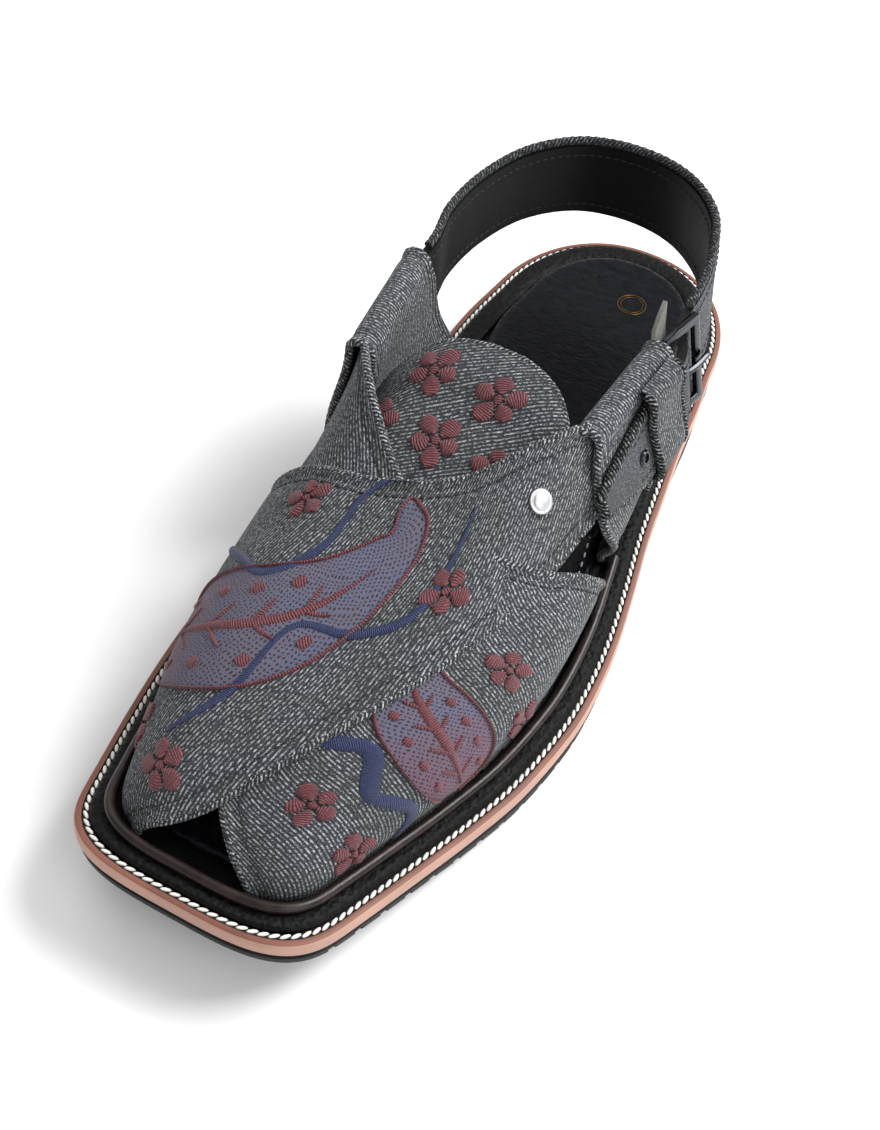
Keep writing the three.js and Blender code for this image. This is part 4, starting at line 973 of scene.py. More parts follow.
@painted()
def seed_stitch(paint, colour, other):
    """Close rows of short stitches with a pinhole of dark cloth at each crossing."""
    paint.surface(Roughness=0.75, Sheen_Weight=0.1, Specular_IOR_Level=0.2)
    u, v = paint.flat()
    sway = paint.noise(paint.point(u * 0.3, v * 0.3))
    wave = [(q + sway * 2.2).ribs(1.8) for q in (u, v)]
    hole = (wave[0] * wave[1]).between(0.2, 0.8)
    strand = paint.noise(paint.point(u * 3.8, v * 1.6, 1.0), 1.0, 3.0, 0.65)
    patch = paint.noise(paint.point(u * 0.06, v * 0.09, 2.0))
    thread = paint.blend(patch.between(0.38, 0.62), colour, other)
    bright = paint.blend(0.4, thread, tone(136, 132, 148))
    body = paint.blend(strand.between(0.3, 0.75), thread, bright)
    reddened = paint.blend((1.0 - u.between(2.0, 40.0)) * 0.6, body, tone(104, 60, 70))
    paint.surface(Base_Color=paint.blend(hole * 0.9, reddened, tone(58, 24, 32)))
    paint.relief(strand * 0.5 - hole * 0.8, 0.2)


@painted("black_rubber")
def rubber(paint):
    grain = paint.noise(paint.space(), 1500.0, 4.0, 0.65)
    paint.surface(Base_Color=colours().rubber[:], Specular_IOR_Level=0.3, Roughness=grain * 0.3 + 0.48)
    paint.relief(grain, 0.12)


@painted()
def sole_leather(paint, colour, light):
    """Stacked sole leather, layered and blotched."""
    layers = paint.noise(paint.space((60, 60, 900)), 1.0, 3.0)
    blotch = paint.noise(paint.space(), 55.0, 3.0)
    base = paint.blend(blotch.between(0.35, 0.7), colour, shaded(colour, light))
    darkened = paint.blend(layers.between(0.55, 0.8) * 0.6, base, shaded(colour, 0.68))
    paint.surface(Roughness=0.5, Specular_IOR_Level=0.35, Base_Color=darkened)
    paint.relief(layers, 0.06)


@painted("black_rand")
def rand_leather(paint):
    pebble = paint.cells(paint.space(), 620.0)
    wrinkle = paint.noise(paint.space(), 330.0, 4.0, 0.65)
    height = pebble * 0.7 + wrinkle
    # Partly painted highlight: the raised grain takes the lighter black, partly the grain's own tone and
    # partly the tiny specks of light on it.
    black = paint.blend(height.between(0.5, 1.1), tone(2, 2, 2), tone(16, 17, 16))
    paint.surface(Specular_IOR_Level=0.12, Base_Color=black, Roughness=wrinkle * 0.5 + 0.3)
    paint.relief(height, 0.5)


@painted("brown_piping")
def piping_leather(paint):
    wear = paint.noise(paint.space(), 160.0, 3.0)
    brown = paint.blend(wear.between(0.3, 0.75), colours().piping[:], tone(40, 26, 23))
    paint.surface(Specular_IOR_Level=0.35, Base_Color=brown, Roughness=wear * 0.3 + 0.22)
    paint.relief(paint.noise(paint.space(), 700.0, 3.0), 0.1)


@painted("black_footbed")
def footbed_leather(paint):
    grain = paint.noise(paint.space((220, 420, 220)), 1.0, 3.0, 0.55)
    height = grain + paint.cells(paint.space((520, 900, 520))) * 0.35
    # Partly painted highlight: the raised grain takes the lighter black, partly the grain's own tone and
    # partly the highlights on it.
    black = paint.blend(height.between(0.4, 0.95), tone(4, 5, 8), tone(14, 16, 23))
    paint.surface(Specular_IOR_Level=0.13, Base_Color=black, Roughness=grain * 0.3 + 0.2)
    paint.relief(height, 0.38)


@painted()
def metal(paint, colour, roughness):
    scratch = paint.noise(paint.space((900, 200, 900)), 1.0, 3.0)
    paint.surface(Metallic=1.0, Base_Color=colour, Roughness=scratch * 0.22 + (roughness - 0.1))


@painted("grey_felt")
def felt(paint):
    fuzz = paint.noise(paint.space(), 1300.0, 5.0, 0.7)
    grey = paint.blend(fuzz.between(0.3, 0.7), tone(66, 66, 58), colours().felt[:])
    paint.surface(Roughness=0.95, Sheen_Weight=0.4, Base_Color=grey)
    paint.relief(fuzz, 0.3)


def white_thread():
    return plain_thread("white_thread", colours().thread[:])


def dark_thread():
    return plain_thread("dark_thread", tone(26, 28, 30))


def maroon_thread():
    return satin_stitch("maroon_embroidery", colours().maroon[:])


def stitch_tree(name, material):
    """Geometry Nodes: one rounded stitch on each point, turned by the point's own two directions."""
    sized = ("Length", "Width", "Height")
    tree = Tree(name, {"Points": "Geometry", **dict.fromkeys(sized, "Float")}, "Stitches")
    bead = tree.node("GeometryNodeMeshUVSphere", {}, {"Segments": 8, "Rings": 6, "Radius": 0.5})
    scale = tree.point(*(tree.given[label] for label in sized))
    read = {"data_type": "FLOAT_VECTOR"}
    ways = {k: tree.node("GeometryNodeInputNamedAttribute", read, {"Name": label}, "Attribute")
            for k, label in enumerate(("stitch_way", "stitch_up"))}
    turn = tree.node("FunctionNodeAxesToRotation", {"primary_axis": "X", "secondary_axis": "Z"}, ways)
    return tree.end(tree.copies(bead, Rotation=turn, Scale=scale), material)


def run_tree(piece, tree, values, corner=180):
    """Puts a node tree on a piece with its inputs set by their identifiers, and keeps the plain result."""
    modifier = piece.modifiers.new(tree.name, "NODES")
    modifier.node_group = tree
    for item in tree.interface.items_tree:
        if item.name in values:
            modifier[item.identifier] = values[item.name]
    smooth(made_plain(piece).data, corner)
    return piece


def marks(name, points):
    """Bare points in millimetres, for a node tree to put copies on."""
    mesh = bpy.data.meshes.new(name)
    mesh.from_pydata((np.asarray(points) * MM).tolist(), [], [])
    return linked(name, mesh)


def stitches(name, rows, material, thread, slant=0.0):
    """Stitches of one thread: each row is points, directions and outward normals, in millimetres."""
    points, ways, ups = (np.concatenate([row[k] for row in rows]) for k in range(3))
    ways = ways * math.cos(slant) + np.cross(ups, ways) * math.sin(slant)
    piece = marks(name, points)
    for label, values in (("stitch_way", ways), ("stitch_up", ups)):
        attribute = piece.data.attributes.new(label, "FLOAT_VECTOR", "POINT")
        attribute.data.foreach_set("vector", values.astype(np.float32).ravel())
    values = {label: size * MM for label, size in zip(("Length", "Width", "Height"), thread)}
    return run_tree(piece, stitch_tree(f"{name}_tree", material), values)


def row_of(points, normals):
    """A stitch row along a path, with the path's own directions."""
    return points, unit(np.gradient(points, axis=0)), normals


def cloth_row(cloth, u, v, pitch, lift=0.1):
    """A stitch row on a cloth between flat points, given as matching lists of u and v."""
    line = cloth.place(u, v, lift)
    off = cloth.place(u, v, lift + 1.0) - line
    points = respaced(line, pitch)
    length = path_lengths(line)
    return row_of(points, unit(along_path(off, np.linspace(0, 1, len(points)), length / length[-1])))


def ring_points(rows, count, level):
    """Stacked outline rings: a row is an inset and a value, which level turns into a height over y."""
    rings = []
    for inset, value in rows:
        x, y = outline_ring(inset, count)
        rings.append(stack(x, y, level(y, value)))
    return np.concatenate(rings)


def ring_faces(levels, count):
    return ring_quads(levels, count)[:, [0, 3, 2, 1]].tolist()


def strip_cap(start, count, down):
    """Faces across one ring, from its lateral points to its medial points."""
    faces = []
    for i in range(count // 2):
        ring = [start + k for k in (i, i + 1, count - i - 1, (count - i) % count)]
        corners = list(dict.fromkeys(ring))
        faces.append(corners if down else corners[::-1])
    return faces


def closed_faces(levels, count):
    """Faces of stacked outline rings with both ends capped."""
    caps = strip_cap(0, count, True) + strip_cap((levels - 1) * count, count, False)
    return ring_faces(levels, count) + caps


class Maker:
    """What every operator here shares."""

    bl_options = {"REGISTER", "UNDO"}

    def execute(self, context):
        self.make()
        return {"FINISHED"}


class CHAPPAL_OT_outsole(Maker, bpy.types.Operator):
    """Black rubber outsole with its side ribs and cross grooves"""

    bl_idname = "chappal.outsole"
    bl_label = "Outsole"

    def make(self):
        def level(y, share):
            return mix(outsole_bottom(y), outsole_top(y), share)
        edge, rib = OUTSOLE_SETBACK, OUTSOLE_SETBACK + RIB_DEPTH
        rows = ((rib + 0.6, 0), (rib, 0.02), (edge + 0.1, 0.09), (edge, 0.16), (edge, 0.53),
                (edge + 0.2, 0.57), (rib, 0.62), (rib, 0.78), (edge + 0.2, 0.83), (edge, 0.87),
                (edge, 0.97), (edge + 0.3, 1))
        points = ring_points(rows, OUTSOLE_RING, level)
        body = build("outsole_body", points, closed_faces(len(rows), OUTSOLE_RING), [rubber()])
        heel, forefoot = (0.04, HEEL_LENGTH / SOLE_LENGTH - 0.02), (FLAT_START - 0.06, 0.97)
        places = [y_at(start) - k * GROOVE_PITCH for start, end in (heel, forefoot)
                  for k in range(int((end - start) * SOLE_LENGTH / GROOVE_PITCH) + 1)]
        bar = {"Width": SOLE_WIDTH + 10, "Groove": GROOVE_WIDTH, "Depth": 20}
        sink = GROOVE_DEPTH - bar["Depth"] / 2
        piece = marks("outsole_rubber", [(0, y, outsole_bottom(y) + sink) for y in places])
        values = {label: value * MM for label, value in bar.items()}
        run_tree(piece, groove_tree(), {"Body": body, **values}, corner=35)
        bpy.data.objects.remove(body)
        settle(piece, "outsole", "outsole")


def groove_tree():
    """Geometry Nodes: a bar on each point, all of them cut from the body."""
    sized = ("Width", "Groove", "Depth")
    inputs = {"Points": "Geometry", "Body": "Object", **dict.fromkeys(sized, "Float")}
    tree = Tree("outsole_groove_tree", inputs, "Sole")
    size = tree.point(*(tree.given[label] for label in sized))
    bars = tree.real(tree.copies(tree.node("GeometryNodeMeshCube", {}, {"Size": size})))
    body = tree.node("GeometryNodeObjectInfo", {}, {"Object": tree.given["Body"]}, "Geometry")
    cut = tree.node("GeometryNodeMeshBoolean", {"operation": "DIFFERENCE"}, {"Mesh 1": body, "Mesh 2": bars})
    return tree.end(cut, rubber())


class CHAPPAL_OT_midsole(Maker, bpy.types.Operator):
    """Tan leather midsole with its ledge, the rand laid on it and the white welt stitches"""

    bl_idname = "chappal.midsole"
    bl_label = "Midsole, rand and welt stitches"

    def make(self):
        def level(y, lift):
            return outsole_top(y) + GAP + lift
        top, edge = MIDSOLE_THICKNESS, RAND_INSET
        rows = ((0.9, 0), (0.35, 0.25), (0.05, 0.8), (0, 1.6), (0, top - 1.9), (0.1, top - 1.0),
                (0.4, top - 0.35), (1.0, top), (2.0, top), (2.3, top - 0.3), (edge + 0.2, top - 0.3),
                (edge + 0.6, top))
        first_of_ledge, first_of_lining = 6, 8
        band = np.repeat(np.arange(len(rows) - 1), SOLE_RING)
        kinds = np.where(band >= first_of_lining, 2, np.where(band >= first_of_ledge, 1, 0))
        kinds = np.concatenate([kinds, np.repeat([0, 2], SOLE_RING // 2)])
        points, faces = ring_points(rows, SOLE_RING, level), closed_faces(len(rows), SOLE_RING)
        side = sole_leather("tan_side", colours().welt_side[:], 1.12)
        ledge = sole_leather("brown_ledge", colours().welt_top[:], 1.2)
        piece = build("midsole_leather", points, faces, [side, ledge, lining()], kinds)
        settle(piece, "midsole", "midsole")
        self.rand()
        self.welt()

    def rand(self):
        """Black strip with rounded edges, its underside closed from the last ring to the first."""
        def level(y, lift):
            return midsole_top(y) + lift
        outer, inner, top = RAND_INSET, RAND_INSET + RAND_WIDTH, RAND_THICKNESS
        rows = ((outer, GAP), (outer - 0.25, 0.9), (outer, top - 1.0), (outer + 0.4, top - 0.45),
                (outer + 1.1, top - 0.15), (outer + 2.6, top), (inner - 2.2, top), (inner - 0.9, top - 0.2),
                (inner - 0.2, top - 0.7), (inner, GAP))
        last = (len(rows) - 1) * SOLE_RING
        after = [(k + 1) % SOLE_RING for k in range(SOLE_RING)]
        under = [[last + k, k, a, last + a] for k, a in enumerate(after)]
        points, faces = ring_points(rows, SOLE_RING, level), ring_faces(len(rows), SOLE_RING) + under
        settle(build("rand_leather", points, faces, [rand_leather()]), "rand", "rand")

    def welt(self):
        """White stitches on the ledge, each turned a little from the seam's line."""
        x, y = even_ring(WELT_INSET, sizes().welt_pitch / MM)
        points = stack(x, y, midsole_top(y) - 0.1)
        way = unit(np.roll(points, -1, 0) - np.roll(points, 1, 0))
        up = unit(np.cross(way, np.cross([0, 0, 1.0], way)))
        thread = (sizes().welt_length / MM, sizes().welt_width / MM, WELT_HEIGHT)
        settle(stitches("welt_stitches", [(points, way, up)], white_thread(), thread, WELT_SLANT), "midsole")


class CHAPPAL_OT_piping(Maker, bpy.types.Operator):
    """Dark brown piping where the straps meet the rand, round the forefoot"""

    bl_idname = "chappal.piping"
    bl_label = "Piping"

    def make(self):
        inset = RAND_INSET + RAND_WIDTH - PIPING_RADIUS - PIPING_SETBACK
        x, y = outline_ring(inset, PIPING_RING)
        lateral_end, medial_end = LATERAL_QUARTER.at("front", 0), MEDIAL_QUARTER.at("front", 0)
        keep = along_at(y) > np.repeat([lateral_end, medial_end], PIPING_RING // 2)
        points = stack(x, y, midsole_top(y) + RAND_THICKNESS + GAP + PIPING_RADIUS)[keep]
        cord = tube(respaced(points, 1.0), PIPING_RADIUS, 16)
        settle(joined("forefoot_piping", [cord], piping_leather()), "piping", "piping")


class CHAPPAL_OT_insole(Maker, bpy.types.Operator):
    """Padded black footbed with a stamped gold ring"""

    bl_idname = "chappal.insole"
    bl_label = "Footbed"

    def make(self):
        top = INSOLE_THICKNESS
        rows = ((0.4, GAP), (0.1, GAP + 0.5), (0, GAP + 1.1), (0.05, top - 1.8), (0.35, top - 1.0),
                (0.9, top - 0.4), (1.8, top - 0.05), (3.2, top + 0.1), (6, top - 0.1), (10, top - 0.5),
                (15, top - 0.8))
        rings = []
        for step, lift in rows:
            _, y = outline_ring(FOOT_INSET + GAP + step, FOOTBED_RING)
            side = np.repeat([LATERAL, MEDIAL], FOOTBED_RING // 2)
            inset = self.inset(y) + step
            place = y * (HALF_LENGTH - inset) / (HALF_LENGTH - FOOT_INSET - GAP - step)
            rings.append(stack(side_x(side, place, inset), place, midsole_top(place) + lift))
        faces = closed_faces(len(rows), FOOTBED_RING)
        piece = build("padded_footbed", np.concatenate(rings), faces, [footbed_leather()])
        settle(piece, "insole", "insole")
        self.stamp()
        self.gap_stitches()

    def gap_stitches(self):
        """White stitches along the footbed's edge, seen in the gaps behind the straps."""
        rows = []
        for side, start, end in ((LATERAL, 0.40, 0.60), (MEDIAL, 0.48, 0.68)):
            y = y_at(np.linspace(start, end, 60))
            x = side_x(side, y, self.inset(y) + FOOTBED_SEAM)
            line = respaced(stack(x, y, midsole_top(y) + INSOLE_THICKNESS + 0.1), FOOTBED_SEAM_PITCH)
            rows.append(row_of(line, np.tile([0.0, 0.0, 1.0], (len(line), 1))))
        settle(stitches("footbed_stitches", rows, white_thread(), FOOTBED_THREAD), "insole")

    def inset(self, y):
        """Distance of the footbed's edge from the sole's edge, less at the heel and more at the toe."""
        along = along_at(y)
        toe = INSOLE_TOE_MARGIN * ease((along - 0.82) / 0.1)
        return mix(RAND_INSET + RAND_WIDTH + GAP, FOOT_INSET + GAP, ease((along - 0.2) / 0.07)) + toe

    def stamp(self):
        """A plain double ring of gold foil."""
        turns = np.linspace(0, 2 * np.pi, 73)
        shapes = []
        for radius, thick in STAMP_RINGS:
            x, y = STAMP_CENTRE[0] + radius * np.cos(turns), STAMP_CENTRE[1] + radius * np.sin(turns)
            path = stack(x, y, midsole_top(y) + INSOLE_THICKNESS - STAMP_SINK)
            shapes.append(tube(path, thick, 6))
        piece = joined("footbed_foil_ring", shapes, metal("gold_foil", colours().gold[:], 0.35))
        settle(piece, "insole")


def joined(name, shapes, material):
    """Several closed shapes as one piece: each is points, faces and its faces' flat coordinates."""
    faces = []
    start = 0
    for points, shape_faces, _ in shapes:
        faces += [[start + k for k in face] for face in shape_faces]
        start += len(points)
    points, _, uv = zip(*shapes)
    return build(name, np.concatenate(points), faces, [material], uv=np.concatenate(uv))


def creased(grid, troughs):
    """Soft troughs: each is two plan points, a width and a depth in millimetres."""
    normal = grid_normals(grid)
    total = np.zeros(grid.shape[:2])
    for start, end, width, depth in troughs:
        a, b = np.array(start, float), np.array(end, float)
        span = b - a
        t = ((grid[..., :2] - a) @ span) / (span @ span)
        foot = a + np.clip(t, 0, 1)[..., None] * span
        away = np.linalg.norm(grid[..., :2] - foot, axis=-1)
        fade = np.exp(-((np.clip(t, 0, 1) - t) * 3) ** 2)
        total -= depth * fade * (np.exp(-(away / width) ** 2) - 0.45 * np.exp(-(away / width / 2) ** 2))
    return grid + normal * total[..., None]


def cloth_piece(name, grid, thickness, outside, slot, nodes=()):
    """A cloth panel with its black lining, and its flat coordinates."""
    cloth = Cloth(grid, thickness)
    points, faces, kinds = slab(grid, cloth.inner)
    uv = np.concatenate([cloth.uv(), cloth.uv()])
    piece = build(name, points, faces, [outside, lining()], np.minimum(kinds, 1), uv, corner=50)
    settle(piece, slot, *nodes)
    return cloth


def dark_cord():
    return denim("denim_dark_cord", 120, 0.8, 0.12)


def hem(name, edges, slot, finish=None, radius=None):
    """Folded and twisted edges of a panel, as one piece: each edge is a path of points."""
    radius = radius or sizes().hem_radius / MM
    shapes = [tube(respaced(edge, HEM_PITCH), radius, HEM_SIDES, HEM_TWIST, HEM_LOBES) for edge in edges]
    settle(joined(name, shapes, finish or denim("denim_hem", 120, 1.3, 0.7)), slot)


def hemmed(grid, height=1.0):
    """Rolled edge, a channel inside it and a sewn line inside that, along both long sides."""
    reach = arc_lengths(grid, 1)
    total = np.zeros(grid.shape[:2])
    for inside in (reach, reach[:, -1:] - reach):
        total += 0.4 * np.exp(-(inside / 1.5) ** 2) - 0.45 * np.exp(-((inside - 2.7) / 0.7) ** 2)
        total -= 0.45 * np.exp(-((inside - HEM_SEAM) / 0.6) ** 2)
    return grid + grid_normals(grid) * (height * total)[..., None]


class CHAPPAL_OT_straps(Maker, bpy.types.Operator):
    """The two crossed forefoot straps, their hems and their embroidery"""

    bl_idname = "chappal.straps"
    bl_label = "Crossed straps"

    def make(self):
        top = strap_outer(TOP_STRAP, MEDIAL, top_lift, TOP_THROAT, STRAP_ROWS, STRAP_COLUMNS)
        top = creased(hemmed(top), [((28, -30), (34, 0), 3.0, 0.5), ((-40, -60), (-20, -48), 6.0, 0.35)])
        under = strap_outer(UNDER_STRAP, LATERAL, under_lift, UNDER_THROAT, STRAP_ROWS, STRAP_COLUMNS)
        under = creased(hemmed(under), [((-48, -30), (-46, 0), 3.0, 0.5), ((44, -60), (30, -80), 6.0, 0.35)])
        self.top = cloth_piece("top_strap", top, WALL, denim("denim_top_strap", 49), "upper", ["upper"])
        self.under = cloth_piece("under_strap", under, WALL, denim("denim_under_strap", -8), "upper")
        hem("strap_hems", self.top.edges(0, HEMMED_ROWS) + self.under.edges(0, HEMMED_ROWS), "upper")
        self.seams()
        embroider(self.top, self.under)

    def seams(self):
        """A dark seam inside each hem."""
        rows = []
        for cloth in (self.top, self.under):
            for column, inward in ((0, HEM_SEAM), (-1, -HEM_SEAM)):
                v = cloth.v[:SEWN_ROWS, column] + inward
                rows.append(cloth_row(cloth, cloth.u[:SEWN_ROWS], v, sizes().seam_pitch / MM))
        settle(stitches("strap_seams", rows, dark_thread(), STRAP_THREAD), "upper")


def plan_of(spine, half_width, steps=12, spans=6, fullness=1.0, taper=0.75):
    """Flat shape about a spine, widest where fullness puts it: its flat points and its threads' u and v."""
    line = smooth_path(np.asarray(spine, float), steps)
    way = unit(np.gradient(line, axis=0))
    side = np.stack([-way[:, 1], way[:, 0]], -1)
    share = np.linspace(0, 1, steps)
    width = half_width * np.maximum(0.04, np.sin(np.pi * share ** fullness)) ** taper
    offset = width[:, None] * np.linspace(-1, 1, spans + 1)
    flat = line[:, None] + side[:, None] * offset[..., None]
    return flat, np.stack(np.broadcast_arrays(path_lengths(line)[:, None], offset), -1)


def raised(cloth, plan, height):
    """A domed, closed pad of thread over a flat plan, its height a multiple of the embroidery's."""
    flat, threads = plan
    t = np.linspace(-1, 1, flat.shape[1])
    dome = height * sizes().thread_height / MM * np.sqrt(1 - 0.85 * t**2)
    outer = cloth.place(flat[..., 0], flat[..., 1], dome)
    inner = cloth.place(flat[..., 0], flat[..., 1], -0.3)
    middle = len(flat) // 2
    facing = np.cross(outer[middle + 1, 0] - outer[middle, 0], outer[middle, -1] - outer[middle, 0])
    if facing @ (outer[middle, len(t) // 2] - inner[middle, len(t) // 2]) < 0:
        outer, inner, threads = outer[:, ::-1], inner[:, ::-1], threads[:, ::-1]
    points, faces, _ = slab(outer, inner)
    uv = threads.reshape(-1, 2)
    return points, faces.tolist(), np.concatenate([uv, uv])[faces.ravel()]


def pad(cloth, spine, half_width, lift, *plan):
    return raised(cloth, plan_of(spine, half_width, *plan), lift)


def tendril(cloth, spine, half_width):
    return pad(cloth, spine, half_width, 1.5, 90, 6, 1.0, 0.3)


def knot(cloth, centre, radius):
    centre = np.array(centre, float)
    return pad(cloth, [centre - [radius, 0], centre, centre + [radius, 0]], radius, 1.9, 18, 8, 1.0, 0.5)


def blossom(cloth, u, v, radius, turn):
    """Five round petals about a knot, no two of one length."""
    shapes = [knot(cloth, (u, v), radius * 0.17)]
    for k in range(5):
        angle = turn + 2 * math.pi * k / 5
        way = np.array([math.cos(angle), math.sin(angle)])
        reach = radius * (0.92 + 0.12 * math.cos(5 * turn + 2.4 * k))
        near, far = np.array([u, v]) + way * radius * 0.2, np.array([u, v]) + way * reach
        bend = np.array([-way[1], way[0]]) * radius * 0.05
        spine = [near, (near + far) / 2 + bend, far]
        shapes.append(pad(cloth, spine, radius * 0.33, 2.0, 22, 12, 1.3, 0.55))
    return shapes


def boteh(cloth, spine, half_width):
    """A curled teardrop: its seeded body, and its outline, stem and dots in satin stitch."""
    plan = plan_of(spine, half_width, 90, 20, 0.62)
    body = raised(cloth, plan, 1.0)
    flat = plan[0]
    outline = np.concatenate([flat[:, 0], flat[::-1, -1]])[::4]
    satin = [pad(cloth, outline, 0.6, 2.0, 260, 4), pad(cloth, flat[8:70:6, 10], 1.7, 2.1, 60, 6)]
    for row in range(14, 62, 12):
        for column, reach in ((4, -0.6), (16, 0.6)):
            satin.append(knot(cloth, flat[row, column], half_width * 0.11))
            root, tip = flat[row, 10], mix(flat[row + 6, 10], flat[row + 6, column], 0.62)
            satin.append(pad(cloth, [root, mix(root, tip, 0.5) + [0.4 * reach, 0], tip], 0.85, 1.9, 14, 4))
    return body, satin


def embroider(top, under):
    """Curled teardrops, blossoms and tendrils of a generic design, laid out on both straps."""
    bodies, maroons, tendrils = [], [], []
    for cloth, botehs, stems, blossoms in ((top, TOP_BOTEHS, TOP_TENDRILS, TOP_BLOSSOMS),
                                           (under, UNDER_BOTEHS, UNDER_TENDRILS, UNDER_BLOSSOMS)):
        for spine, half_width in botehs:
            body, satin = boteh(cloth, spine, half_width)
            bodies.append(body)
            maroons += satin
        for half_width, *spine in stems:
            tendrils.append(tendril(cloth, spine, half_width))
        for place in blossoms:
            maroons += blossom(cloth, *place)
    mauve = seed_stitch("mauve_embroidery", colours().mauve[:], tone(70, 77, 99))
    blue = satin_stitch("blue_embroidery", colours().blue[:], 0.55, 0.6)
    settle(joined("mauve_botehs", bodies, mauve), "upper")
    settle(joined("maroon_blossoms", maroons, maroon_thread()), "upper")
    settle(joined("blue_tendrils", tendrils, blue), "upper")


# Embroidery in flat millimetres, u from the strap's foot and v from its middle line
TOP_BOTEHS = (
    (((9, 2), (30, -2), (54, -4), (76, 2), (92, 14), (90, 26)), 19.0),
)
UNDER_BOTEHS = (
    (((8, 8), (24, 6), (40, 2), (54, -6), (58, -18)), 14.0),
)
TOP_TENDRILS = (
    (1.35, (4, 26), (20, 34), (36, 24), (52, 12), (66, 18), (76, 32), (92, 36)),
    (1.35, (34, -34), (50, -24), (64, -6), (80, -12), (96, -12), (108, 2), (114, 12)),
)
UNDER_TENDRILS = (
    (2.4, (4, 30), (16, 24), (28, 30), (40, 20), (52, 26), (66, 18)),
)
TOP_BLOSSOMS = (
    (14, -27, 8.5, 0.2), (105, -8, 7.5, 0.5), (34, -44, 8.5, 0.4), (12, 42, 7.5, 0.9), (58, 36, 7.0, 0.2),
)
UNDER_BLOSSOMS = (
    (14, -20, 8.0, 0.3), (36, 42, 7.5, 0.6), (36, -24, 7.5, 0.1), (14, 44, 7.5, 0.8),
)


class CHAPPAL_OT_quarters(Maker, bpy.types.Operator):
    """Both folded quarters with their twisted edges"""

    bl_idname = "chappal.quarters"
    bl_label = "Quarters"

    def make(self):
        edges = []
        for side, name in ((LATERAL, "lateral_quarter"), (MEDIAL, "medial_quarter")):
            grid = hemmed(quarter_grid(side, 56, 20, 18, 72), 0.8)
            if side > 0:
                grid = creased(grid, [((40, 8), (41, 26), 2.6, 0.45), ((37, 34), (40, 44), 2.2, 0.4)])
            else:
                grid = creased(grid, [((-52, 4), (-52, 30), 3.0, 0.45)])
            edges += cloth_piece(name, grid, WALL, denim("denim_quarter", 4), "upper").edges(1, 80)
        hem("quarter_hems", edges, "upper")


class CHAPPAL_OT_tongue(Maker, bpy.types.Operator):
    """Rounded denim tongue with its hem and blossoms"""

    bl_idname = "chappal.tongue"
    bl_label = "Tongue"

    def make(self):
        rim, front = 0.458, 0.70
        share = np.linspace(0, 1, 61) ** 1.5
        along = mix(rim, front, share)
        medial, lateral = -TONGUE.at("medial", along) * HALF_WIDTH, TONGUE.at("lateral", along) * HALF_WIDTH
        x = mix(medial[:, None], lateral[:, None], np.linspace(0, 1, 49))
        base = last_points(x, np.broadcast_to(y_at(along)[:, None], x.shape).copy())
        sink = TONGUE_SINK * ease((share - 0.12) / 0.16)
        outer = base + grid_normals(base) * (TONGUE_THICKNESS - sink)[:, None, None]
        finish = denim("denim_tongue", -55)
        cloth = cloth_piece("tongue_cloth", outer, TONGUE_THICKNESS, finish, "tongue", ["tongue"])
        medial_edge, lateral_edge = cloth.edges(0, 34)
        round_rim = np.concatenate([medial_edge[::-1], cloth.middle[0, 1:-1], lateral_edge])
        hem("tongue_hem", [round_rim], "tongue", radius=1.05)
        shapes = [shape for place in TONGUE_BLOSSOMS for shape in blossom(cloth, *place)]
        settle(joined("tongue_blossoms", shapes, maroon_thread()), "tongue")


TONGUE_BLOSSOMS = (
    (14, -14, 8.0, 0.2), (15, 7, 8.2, 0.7), (33, -24, 8.0, 0.5), (33, -4, 8.4, 0.1), (34, 16, 8.0, 0.9),
)


